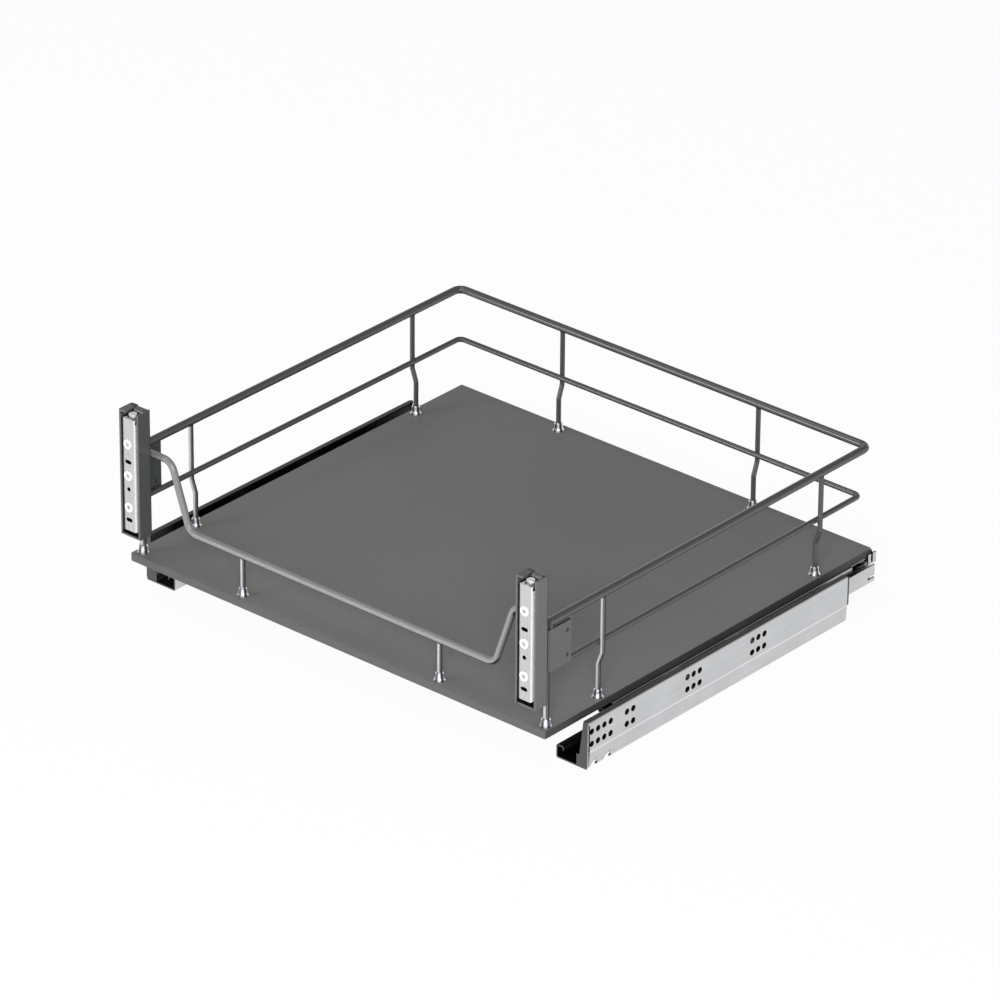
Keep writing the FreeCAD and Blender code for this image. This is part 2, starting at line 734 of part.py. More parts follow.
def make_cabinet_profile(rows):
    """Roll-formed cabinet profile of the right-hand slide, with the given rows of mounting holes."""
    half = slide_sheet / 2
    wall = rail_outer - half
    low = floor_bottom + half
    high = floor_bottom + cabinet_profile_height - half
    curl_top = floor_bottom + cabinet_inner_wall_height - half
    inner = channel_inner + half
    curl = inner + cabinet_curl_width - slide_sheet
    crease = floor_bottom + cabinet_crease_height
    section = [(curl, curl_top - cabinet_curl_drop), (curl, curl_top), (inner, curl_top), (inner, low),
               (wall - cabinet_wall_tilt, low), (wall, crease), (wall, high),
               (rail_outer - cabinet_flange_width, high)]
    body = folded_strip(section, slide_sheet, [0.5, 0.5, 0.5, cabinet_floor_bend, 0.5, 0.5],
                        at_xz(cabinet_profile_front), V(0, cabinet_profile_length, 0))
    top = floor_bottom + cabinet_profile_height
    step = floor_bottom + front_flange_step_height
    foot = rail_outer - half - cabinet_wall_tilt
    flange = outline_solid([V(x, cabinet_profile_front, z) for x, z in (
        (rail_outer - half, top), (rail_outer - front_flange_top_width, top),
        (rail_outer - front_flange_waist_width, step),
        (rail_outer - front_flange_foot_width, step),
        (rail_outer - front_flange_foot_width, floor_bottom),
        (foot, floor_bottom), (foot, floor_bottom + cabinet_floor_bend),
        (rail_outer - half, crease))], V(0, slide_sheet, 0))
    body = body.fuse(flange)
    back = cabinet_profile_back
    rear_lip = outline_solid([V(x, y, crease) for x, y in (
        (rail_outer, back), (rail_outer - slide_sheet, back),
        (rail_outer - slide_sheet - rear_lip_offset, back + rear_lip_length),
        (rail_outer - rear_lip_offset, back + rear_lip_length))],
        V(0, 0, top - crease - slide_sheet))
    body = body.fuse(rear_lip)
    stop = box(stop_middle - stop_tab_width / 2, stop_middle + stop_tab_width / 2,
               back - slide_sheet, back, floor_top, floor_top + stop_tab_height)
    body = body.fuse(stop)
    depth = 5.0
    for inset in (first_notch, second_notch):
        y = cabinet_profile_front + inset
        z = floor_bottom + notch_rise
        body = body.cut(rod_between(V(rail_outer - depth, y, z), V(rail_outer + 1, y, z),
                                    2 * notch_radius))
        spot = V(rail_outer, y + dimple_shift, floor_bottom + dimple_rise)
        drift = cabinet_wall_tilt * (cabinet_crease_height - dimple_rise) / cabinet_crease_height
        body = body.cut(Part.makeCylinder(dimple_diameter / 2, drift + dimple_depth, spot, V(-1, 0, 0)))
    body = body.cut(box(rail_outer - notch_relief_inset - notch_relief_width,
                        rail_outer - notch_relief_inset,
                        cabinet_profile_front + first_notch - notch_radius,
                        cabinet_profile_front + second_notch + notch_relief_tail,
                        floor_bottom - 1, floor_top))
    wall_front = cabinet_profile_front + slide_sheet + front_flange_gap
    gap_bottom = floor_bottom + cabinet_floor_bend + slide_sheet
    gap_top = top - 2 * slide_sheet
    body = body.cut(box(rail_outer - front_flange_corner, rail_outer + 1, cabinet_profile_front - 1,
                        wall_front, gap_bottom, gap_top))
    body = body.cut(box(rail_outer - slide_sheet - cabinet_wall_tilt - 0.3, rail_outer + 1,
                        cabinet_profile_front + slide_sheet, wall_front, gap_bottom, gap_top))
    for start, columns in mount_groups():
        for column in range(columns):
            for row in rows:
                y = cabinet_profile_front + start + mount_hole_pitch * column
                z = top - mount_row_drop - mount_row_pitch * row
                body = body.cut(rod_between(V(rail_outer - depth, y, z), V(rail_outer + 1, y, z),
                                            mount_hole_diameter))
    return body


def make_intermediate_profile():
    """Channel section, open inboard, that runs between the two sets of rollers."""
    half = slide_sheet / 2
    web = intermediate_outer - half
    low = intermediate_bottom + half
    high = intermediate_top - half
    section = [(intermediate_inner, low), (web, low), (web, high),
               (intermediate_outer - intermediate_top_width, high)]
    return folded_strip(section, slide_sheet, 0.7, at_xz(intermediate_front),
                        V(0, intermediate_length, 0))


def make_drawer_profile():
    """Drawer profile: carries the board, with an outer gutter and a hook at its rear end."""
    half = slide_sheet / 2
    high = board_under - half
    gutter_floor = floor_of_gutter + half
    hold = board_under - drawer_inner_wall_depth + half
    section = [(drawer_inner + drawer_hold_lip, hold), (drawer_inner + half, hold),
               (drawer_inner + half, high), (gutter_inner + half, high),
               (gutter_inner + half, gutter_floor), (drawer_outer - half, gutter_floor),
               (drawer_outer - half, board_under - drawer_outer_wall_drop)]
    body = folded_strip(section, slide_sheet, 0.5, at_xz(drawer_profile_front),
                        V(0, drawer_profile_length, 0))
    cut_start = drawer_profile_back - drawer_rear_cut
    body = body.cut(box(gutter_inner - 1, gutter_inner + slide_sheet, cut_start,
                        drawer_profile_back + 1, board_under - drawer_rear_wall_drop, 0))
    end_plate = box(drawer_inner, intermediate_outer - intermediate_top_width - end_plate_gap,
                    drawer_profile_back - slide_sheet, drawer_profile_back,
                    hold - end_plate_drop, high)
    body = body.fuse(end_plate)
    slot_z = board_under - drawer_rear_slot_drop
    slot_start = drawer_profile_back - drawer_rear_slot_length
    body = body.cut(box(drawer_outer - slide_sheet - 0.3, drawer_outer + 1, slot_start,
                        drawer_profile_back + 1, slot_z - drawer_rear_slot_width / 2,
                        slot_z + drawer_rear_slot_width / 2))
    body = body.cut(box(drawer_inner - 1, drawer_inner + drawer_hold_lip + 1, tooth_slot_start,
                        tooth_slot_start + tooth_slot_length, hold - slide_sheet, lever_top + 1.0))
    top = -hook_frame_top
    frame = box(gutter_inner, gutter_inner + slide_sheet, hook_frame_front, hook_back,
                top - hook_frame_height, top)
    window_back = hook_frame_front + hook_window_inset + hook_window_length
    frame = frame.cut(box(gutter_inner - 1, gutter_inner + 9, hook_frame_front + hook_window_inset,
                          window_back, top - hook_frame_height + hook_base_height, top + 1))
    tongue_front = board_depth + hook_tongue_gap
    tongue_top = hook_pin_z + hook_pin_diameter / 2 + 0.8
    tongue = box(gutter_inner - hook_tongue_width, gutter_inner + slide_sheet, tongue_front,
                 tongue_front + slide_sheet, -hook_tongue_bottom, top)
    tongue = tongue.fuse(box(gutter_inner, gutter_inner + slide_sheet, tongue_front,
                             window_back + 0.5, -hook_tongue_bottom, top))
    tongue = tongue.fuse(box(gutter_inner - hook_tongue_width, gutter_inner - 0.5, tongue_front,
                             tongue_front + slide_sheet, top, tongue_top))
    pin = rod_between(V(hook_pin_x, tongue_front + slide_sheet, hook_pin_z),
                      V(hook_pin_x, board_depth - hook_pin_length, hook_pin_z), hook_pin_diameter)
    return body.fuse(frame).fuse(tongue).fuse(pin)


# Hook pin and lock places, shared by the board, the drawer profiles and the locks
hook_pin_z = -hook_pin_depth
hook_pin_x = board_half - hook_pin_reach
lock_outer = drawer_inner - lock_gap
lock_body_outer = lock_outer - lock_nose_width
lock_inner = lock_body_outer - lock_width
lock_back = lock_front + lock_length
lock_under = board_under - lock_height
lock_pin_x = lock_body_outer - lock_pin_inset
lock_pin_y = lock_front + lock_pin_offset
lever_top = lock_under - lever_gap
lever_bottom = lever_top - lever_thickness
tooth_start = lock_front + tooth_offset
tooth_slot_start = tooth_start - tooth_slot_margin
tooth_slot_length = tooth_length + 2 * tooth_slot_margin
lock_screw_ys = (lock_front + lock_screw_end, lock_back - lock_screw_end)
floor_of_gutter = board_under - drawer_gutter_depth
stop_middle = intermediate_inner + intermediate_bottom_width / 2


def lock_screw(side, y, extra=0.0):
    """Pan-head screw that holds a lock housing under the board."""
    x = side * (lock_inner + lock_screw_inset)
    radius = screw_diameter / 2 + extra
    tip = board_under + board_thickness - 2.0
    seat = board_under - lock_roof
    head = screw_head_diameter / 2
    return turned_solid([(0, seat - 2.0), (head - 0.6, seat - 2.0), (head, seat - 1.2), (head, seat),
                         (radius, seat), (radius, tip + extra), (0, tip + extra)], x, y)


def make_lock_housing():
    """Moulded housing of the right-hand lock: a roof, walls, a nose and the lever's pivot pin."""
    nose_start = lock_front + lock_nose_start
    body = box(lock_inner, lock_body_outer, lock_front, lock_back, lock_under, board_under)
    body = body.makeFillet(1.5, [e for e in body.Edges if abs(e.Vertexes[0].Z - e.Vertexes[1].Z) > 1])
    body = body.fuse(box(lock_body_outer - lock_wall, lock_outer, nose_start,
                         nose_start + lock_nose_length, lock_under, board_under))
    roof = board_under - lock_roof
    body = body.cut(box(lock_inner + lock_wall, lock_body_outer - lock_wall, lock_front + lock_wall,
                        lock_back - lock_wall, lock_under - 1, roof))
    boss = rod_between(V(lock_pin_x, lock_pin_y, lock_under), V(lock_pin_x, lock_pin_y, roof),
                       lever_boss_diameter)
    body = body.fuse(boss)
    body = body.cut(rod_between(V(lock_pin_x, lock_pin_y, lock_under - 1), V(lock_pin_x, lock_pin_y, roof),
                                lock_pin_diameter + 2 * collar_fit))
    for y in lock_screw_ys:
        body = body.cut(rod_between(V(lock_inner + lock_screw_inset, y, lock_under - 1),
                                    V(lock_inner + lock_screw_inset, y, board_under + 1),
                                    screw_diameter + screw_clearance))
    return body


def lever_pin():
    """Shouldered pin that carries the lever under the housing."""
    foot = lever_bottom - lever_gap
    shank = rod_between(V(lock_pin_x, lock_pin_y, foot), V(lock_pin_x, lock_pin_y, lock_under + 6.0),
                        lock_pin_diameter)
    head = rod_between(V(lock_pin_x, lock_pin_y, foot - lever_collar_height),
                       V(lock_pin_x, lock_pin_y, foot), lever_collar_diameter)
    return shank.fuse(head)


def make_lock_lever():
    """Release lever: a finger grip in front, an eye on the pin and a tooth in the profile's notch."""
    up = V(0, 0, lever_thickness)
    grip_x = lock_body_outer - lever_grip_inset
    half = lever_grip_width / 2
    y0 = lock_front + 1.0
    y1 = y0 + lever_grip_length
    grip = box(grip_x - half, grip_x + half, y0, y1, lever_bottom, lever_top)
    grip = grip.makeFillet(3.0, [e for e in grip.Edges if abs(e.Vertexes[0].Z - e.Vertexes[1].Z) > 1])
    lip = box(grip_x - half + 1.5, grip_x + half - 1.5, y0, y0 + 2.0, lever_bottom - 3.0, lever_bottom)
    arm_half = lever_arm_width / 2
    arm = outline_solid([V(grip_x - arm_half, y1 - 3.0, lever_bottom),
                         V(grip_x + arm_half, y1 - 3.0, lever_bottom),
                         V(lock_pin_x + arm_half, lock_pin_y, lever_bottom),
                         V(lock_pin_x - arm_half, lock_pin_y, lever_bottom)], up)
    boss = Part.makeCylinder(lever_boss_diameter / 2, lever_thickness,
                             V(lock_pin_x, lock_pin_y, lever_bottom))
    tip = drawer_inner + tooth_reach
    tooth_end = tooth_start + tooth_length
    tail = outline_solid([V(lock_pin_x - arm_half, lock_pin_y, lever_bottom),
                          V(lock_pin_x + arm_half, lock_pin_y, lever_bottom),
                          V(lock_body_outer - 2.0, tooth_start - 6.0, lever_bottom),
                          V(lock_body_outer + 1.0, tooth_start, lever_bottom),
                          V(tip, tooth_start, lever_bottom),
                          V(drawer_inner + 0.5, tooth_end, lever_bottom),
                          V(lock_body_outer - 7.0, tooth_end, lever_bottom)], up)
    lever = grip.fuse(lip).fuse(arm).fuse(boss).fuse(tail)
    return lever.cut(rod_between(V(lock_pin_x, lock_pin_y, lever_bottom - 1),
                                 V(lock_pin_x, lock_pin_y, lever_top + 1),
                                 lock_pin_diameter + 2 * lock_pin_fit))


def make_cage(x0, x1, y0, length, base, count):
    """Flat nylon cage with a row of pockets, and the rollers in them."""
    rise = base + roller_fit + (roller_diameter - cage_thickness) / 2
    cage = box(x0, x1, y0, y0 + length, rise, rise + cage_thickness)
    pitch = length / count
    axle = base + roller_fit + roller_diameter / 2
    rollers = []
    for index in range(count):
        y = y0 + pitch * (index + 0.5)
        reach = roller_diameter / 2 + cage_pocket_gap
        cage = cage.cut(box(x0 + cage_wall, x1 - cage_wall, y - reach, y + reach, base, base + 9))
        rollers.append(rod_between(V(x0 + cage_wall + cage_pocket_gap, y, axle),
                                   V(x1 - cage_wall - cage_pocket_gap, y, axle), roller_diameter))
    return cage, Part.makeCompound(rollers)


def make_slides():
    """Both slides and locks: the right-hand one, and its mirror image."""
    lower_cage, lower_rollers = make_cage(
        intermediate_inner + lower_cage_inset, intermediate_outer - lower_cage_outset, lower_cage_front,
        lower_cage_length, floor_top, lower_roller_count)
    upper_cage, upper_rollers = make_cage(
        drawer_inner + slide_sheet + upper_cage_gap, intermediate_outer + upper_cage_gap,
        upper_cage_front, upper_cage_length, intermediate_top, upper_roller_count)
    stop_face = cabinet_profile_back - slide_sheet
    buffer = box(stop_middle - stop_tab_width / 2, stop_middle + stop_tab_width / 2,
                 stop_face - buffer_thickness, stop_face, floor_top + buffer_rise,
                 floor_top + stop_tab_height)
    keep("right_cabinet_profile", make_cabinet_profile((0, 1)))
    keep("left_cabinet_profile", mirrored(make_cabinet_profile((1,))))
    pieces = {"intermediate_profile": make_intermediate_profile(),
              "drawer_profile": make_drawer_profile(),
              "lower_cage": lower_cage, "lower_rollers": lower_rollers,
              "upper_cage": upper_cage, "upper_rollers": upper_rollers,
              "lock_housing": make_lock_housing(), "lock_lever": make_lock_lever()}
    for name, shape in pieces.items():
        keep("right_" + name, shape)
        keep("left_" + name, mirrored(shape))
    keep("stop_buffers", Part.makeCompound([buffer, mirrored(buffer)]))
    screws = []
    for side in (-1, 1):
        for y in lock_screw_ys:
            key = hexagon(hex_key_size, hex_key_depth,
                          V(side * (lock_inner + lock_screw_inset), y, board_under - lock_roof - 2.0))
            screws.append(lock_screw(side, y).cut(key))
    keep("lock_screws", Part.makeCompound(screws))
    pin = lever_pin()
    keep("lever_pins", Part.makeCompound([pin, mirrored(pin)]))


def main():
    """Builds every piece and writes one file for each."""
    os.makedirs("parts", exist_ok=True)
    top, lower = make_gallery()
    make_feet()
    make_bracket_sets(top, lower)
    make_slides()
    keep("shelf_board", make_board())
    for name, shape in parts.items():
        moved = shape.translated(V(0, shift_y, shift_z))
        moved.exportStep("parts/" + name + ".step")
        size = moved.BoundBox
        print(name, len(moved.Solids), "valid" if moved.isValid() else "NOT VALID",
              round(moved.Volume, 1), [round(v, 2) for v in
              (size.XMin, size.XMax, size.YMin, size.YMax, size.ZMin, size.ZMax)])


main()
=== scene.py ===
# %% [markdown]
# # A pull-out shelf drawer on concealed slides
# The real object is a grey melamine shelf with a gallery of bent and welded wire.
# It runs on two zinc-plated steel slides, and two brackets carry the front panel.
# The solids come from the CAD model as a fixed frame. This lesson dresses them, adds the
# small welded and threaded forms, and sets up the studio.

# %% Load the frame
import json
import math

import bmesh
import bpy
import numpy as np
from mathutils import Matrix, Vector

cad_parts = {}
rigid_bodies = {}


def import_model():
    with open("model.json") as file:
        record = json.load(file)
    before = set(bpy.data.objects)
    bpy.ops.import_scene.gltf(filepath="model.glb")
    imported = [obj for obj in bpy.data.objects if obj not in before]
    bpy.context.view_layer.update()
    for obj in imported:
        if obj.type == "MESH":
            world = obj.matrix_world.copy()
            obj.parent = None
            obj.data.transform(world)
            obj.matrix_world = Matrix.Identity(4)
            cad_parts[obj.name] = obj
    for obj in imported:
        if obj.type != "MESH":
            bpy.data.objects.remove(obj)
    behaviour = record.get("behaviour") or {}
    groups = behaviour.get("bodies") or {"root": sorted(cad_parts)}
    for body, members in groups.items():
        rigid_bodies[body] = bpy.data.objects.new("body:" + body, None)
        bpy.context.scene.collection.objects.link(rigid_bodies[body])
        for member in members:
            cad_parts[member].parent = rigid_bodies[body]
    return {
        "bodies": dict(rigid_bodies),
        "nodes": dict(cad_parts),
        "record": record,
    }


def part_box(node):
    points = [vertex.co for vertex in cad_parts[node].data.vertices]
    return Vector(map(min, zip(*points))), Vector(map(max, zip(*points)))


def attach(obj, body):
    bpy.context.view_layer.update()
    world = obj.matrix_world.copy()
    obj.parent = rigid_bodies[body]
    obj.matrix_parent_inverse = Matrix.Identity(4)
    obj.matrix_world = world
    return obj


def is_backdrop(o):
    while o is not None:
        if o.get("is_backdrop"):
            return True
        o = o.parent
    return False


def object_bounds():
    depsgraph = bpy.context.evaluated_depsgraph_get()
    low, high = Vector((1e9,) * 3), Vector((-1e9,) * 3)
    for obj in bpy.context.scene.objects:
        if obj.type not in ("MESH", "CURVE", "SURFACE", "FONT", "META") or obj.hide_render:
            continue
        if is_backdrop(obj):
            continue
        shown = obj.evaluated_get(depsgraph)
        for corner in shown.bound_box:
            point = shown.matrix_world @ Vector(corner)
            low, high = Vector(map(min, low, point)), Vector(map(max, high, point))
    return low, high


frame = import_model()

BODIES, NODES = frame["bodies"], frame["nodes"]
CAD_LOW, CAD_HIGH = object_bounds()
MM = 0.001

# %% [markdown]
# ## Where things are
# The maker's drawing counts from the front edge and the top face of the board.
# The frame counts from the middle of the footprint, on the surface below the slides.
# The board's box gives the shift between them, so every later place can be written as the
# drawing writes it, in millimetres, and the box of any node can be read that way too.

# %% Drawing places
X, Y, Z = range(3)
BOARD_LOW, BOARD_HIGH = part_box("shelf_board")
DRAWING_ORIGIN = np.array([0.0, BOARD_LOW.y, BOARD_HIGH.z])


def place(points):
    """Points of the drawing in millimetres, as an array, turned to metres of the frame.

    Formula: divide by 1000, then add the place of the drawing's origin.
    """
    return np.asarray(points, float) * MM + DRAWING_ORIGIN


def drawn(name):
    """Low and high corner of a node's box, in the drawing's millimetres. Formula: place, undone."""
    return [(np.array(corner) - DRAWING_ORIGIN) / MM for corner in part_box(name)]


def middle_of(name):
    """Middle of a node's box, in the drawing's millimetres. Formula: (low + high) / 2."""
    return sum(drawn(name)) / 2


print("drawing's origin at", np.round(DRAWING_ORIGIN, 5))

# %% [markdown]
# ## Helpers for colours, pattern sizes and nodes
# Paint charts give colours as hex values in sRGB. Shaders want linear light, so one function
# turns the one into the other. Patterns are sized in real millimetres, so a second one turns
# millimetres into the scale of a Mapping node. A third adds a node with its settings and
# links, so that each material reads as a short list.


# %% Colour, size and node helpers
def linear(hex_code):
    """sRGB hex to linear RGBA.

    Formula: c / 12.92 for a dark channel, otherwise ((c + 0.055) / 1.055) to the power 2.4.
    """
    c = np.array([int(hex_code[i:i + 2], 16) for i in (1, 3, 5)]) / 255.0
    c = np.where(c <= 0.04045, c / 12.92, ((c + 0.055) / 1.055) ** 2.4)
    return (*[float(v) for v in c], 1.0)


def per(x, y=None, z=None):
    """Mapping scale for a pattern of the given size in millimetres. Formula: 1 / (size * MM)."""
    return tuple(1.0 / (size * MM) for size in (x, y or x, z or x))


def add(tree, kind, settings=None, values=None, links=None):
    """Adds a node. settings are its own fields, values its socket defaults, links its inputs."""
    node = tree.nodes.new(kind)
    for key, value in (settings or {}).items():
        setattr(node, key, value)
    for key, value in (values or {}).items():
        node.inputs[key].default_value = value
    for key, socket in (links or {}).items():
        tree.links.new(socket, node.inputs[key])
    return node


def new_material(name, **constants):
    """A material with a Principled shader whose constant sockets are set directly.

    Gives the material, its tree, the shader, and the object's coordinates and normals.
    """
    material = bpy.data.materials.new(name)
    material.use_nodes = True
    tree = material.node_tree
    shader = tree.nodes["Principled BSDF"]
    for key, value in constants.items():
        shader.inputs[key.replace("_", " ")].default_value = value
    texture = add(tree, "ShaderNodeTexCoord")
    return material, tree, shader, texture.outputs["Object"], texture.outputs["Normal"]


print("helpers ready")

# %% [markdown]
# ## Melamine-faced board
# The shelf is particle board pressed with a resin-soaked grey paper. The press plate leaves
# a fine pearl texture, so the face is matt and its reflections are soft and wide. The pearl is
# about 0.4 mm; it is drawn at 1.1 mm so that it can show. The front and rear edges carry a
# plastic tape a shade darker than the face. The side edges, which the slides hide in the
# cabinet, are drawn dark brown.

# %% Board material
melamine, tree, shader, where, facing = new_material(
    "Melamine_pressed_pearl_grey", IOR=1.5, Specular_IOR_Level=0.22)
fine = add(tree, "ShaderNodeMapping", values={"Scale": per(1.1)}, links={"Vector": where})
pearl = add(tree, "ShaderNodeTexNoise", values={"Scale": 1.0, "Detail": 4.0, "Roughness": 0.6},
            links={"Vector": fine.outputs[0]}).outputs["Fac"]
wide = add(tree, "ShaderNodeMapping", values={"Scale": per(140.0)}, links={"Vector": where})
cloud = add(tree, "ShaderNodeTexNoise", values={"Scale": 1.0, "Detail": 2.0},
            links={"Vector": wide.outputs[0]}).outputs["Fac"]
grain = add(tree, "ShaderNodeMapRange", values={"From Min": 0.3, "From Max": 0.7},
            links={"Value": pearl})
pressed = add(tree, "ShaderNodeMix", {"data_type": "RGBA"},
              {6: linear("#6c6c6b"), 7: linear("#767675")}, {0: grain.outputs[0]}).outputs[2]
drift = add(tree, "ShaderNodeMapRange", values={"From Min": 0.3, "From Max": 0.7, "To Max": 0.25},
            links={"Value": cloud})
face = add(tree, "ShaderNodeMix", {"data_type": "RGBA"}, {7: linear("#626465")},
           {0: drift.outputs[0], 6: pressed}).outputs[2]
side = add(tree, "ShaderNodeSeparateXYZ", links={0: facing})
across = add(tree, "ShaderNodeMath", {"operation": "ABSOLUTE"}, links={0: side.outputs["X"]})
along = add(tree, "ShaderNodeMath", {"operation": "ABSOLUTE"}, links={0: side.outputs["Y"]})
is_side = add(tree, "ShaderNodeMapRange", values={"From Min": 0.55, "From Max": 0.85},
              links={"Value": across.outputs[0]})
is_end = add(tree, "ShaderNodeMapRange", values={"From Min": 0.55, "From Max": 0.85},
             links={"Value": along.outputs[0]})
taped = add(tree, "ShaderNodeMix", {"data_type": "RGBA"}, {7: linear("#5c5c5c")},
            {0: is_end.outputs[0], 6: face}).outputs[2]
tone = add(tree, "ShaderNodeMix", {"data_type": "RGBA"}, {7: linear("#454341")},
           {0: is_side.outputs[0], 6: taped}).outputs[2]
tree.links.new(tone, shader.inputs["Base Color"])
gloss = add(tree, "ShaderNodeMapRange", values={"To Min": 0.50, "To Max": 0.60},
            links={"Value": pearl})
tree.links.new(gloss.outputs[0], shader.inputs["Roughness"])
raised = add(tree, "ShaderNodeBump", values={"Strength": 0.5, "Distance": 0.02 * MM},
             links={"Height": pearl})
tree.links.new(raised.outputs["Normal"], shader.inputs["Normal"])
print("made", melamine.name)

# %% [markdown]
# ## Powder coat
# Rails, posts and brackets are steel, sprayed with anthracite powder and baked. The powder melts
# into a satin skin with a faint orange peel, about 1 mm from hump to hump and a few hundredths
# of a millimetre deep. Wires and cut edges at the front get a paler painted highlight where they
# face the front. Underneath and on the far right the coat gets painted shade: a darker tone, less
# clear coat and more roughness.


# %% Where the inside of a bracket is
BRACKET_LOW, BRACKET_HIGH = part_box("right_bracket")
BRACKET_MIDDLE = (BRACKET_LOW + BRACKET_HIGH) / 2
BRACKET_HALF = (BRACKET_HIGH - BRACKET_LOW) / 2
EDGE_DEPTH, WALL_REACH, TOP_REACH, LIP_REACH = 0.6 * MM, 1.0 * MM, 8.0 * MM, 0.5 * MM


def bracket_masks(tree, where):
    """Two masks of a place: inside the channel of a bracket, and on its foremost edges.

    Formula: inside means that X, Y and Z each lie within the bracket's box, less a wall. X is
    taken without its sign, because the two brackets mirror each other.
    """
    spot = add(tree, "ShaderNodeSeparateXYZ", links={0: where})
    reach = add(tree, "ShaderNodeMath", {"operation": "ABSOLUTE"},
                links={0: spot.outputs["X"]}).outputs[0]
    between = add(tree, "ShaderNodeMath", {"operation": "COMPARE"},
                  {1: BRACKET_MIDDLE.x, 2: BRACKET_HALF.x - WALL_REACH}, {0: reach}).outputs[0]
    level = add(tree, "ShaderNodeMath", {"operation": "COMPARE"},
                {1: BRACKET_MIDDLE.z - TOP_REACH / 2,
                 2: BRACKET_HALF.z - TOP_REACH / 2 - LIP_REACH}, {0: spot.outputs["Z"]}).outputs[0]
    behind = add(tree, "ShaderNodeMath", {"operation": "COMPARE"},
                 {1: BRACKET_MIDDLE.y, 2: BRACKET_HALF.y - EDGE_DEPTH},
                 {0: spot.outputs["Y"]}).outputs[0]
    within = add(tree, "ShaderNodeMath", {"operation": "MULTIPLY"},
                 links={0: between, 1: level}).outputs[0]
    within = add(tree, "ShaderNodeMath", {"operation": "MULTIPLY"},
                 links={0: within, 1: behind}).outputs[0]
    foremost = add(tree, "ShaderNodeMath", {"operation": "LESS_THAN"},
                   {1: BRACKET_LOW.y + EDGE_DEPTH}, {0: spot.outputs["Y"]}).outputs[0]
    return within, foremost


print("bracket", np.round(2 * np.array(BRACKET_HALF) / MM, 1), "mm")

# %% Powder coat materials
# Tone of the painted shade, and the directions in which faces get the painted highlight and the
# painted shade.
PAINTED_SHADE_TONE = "#191a1b"
TO_HIGHLIGHT = (0.10, -0.995, 0.0)
TO_FAR_RIGHT, TO_BELOW = (0.756, 0.654, 0.0), (0.0, 0.0, -1.0)


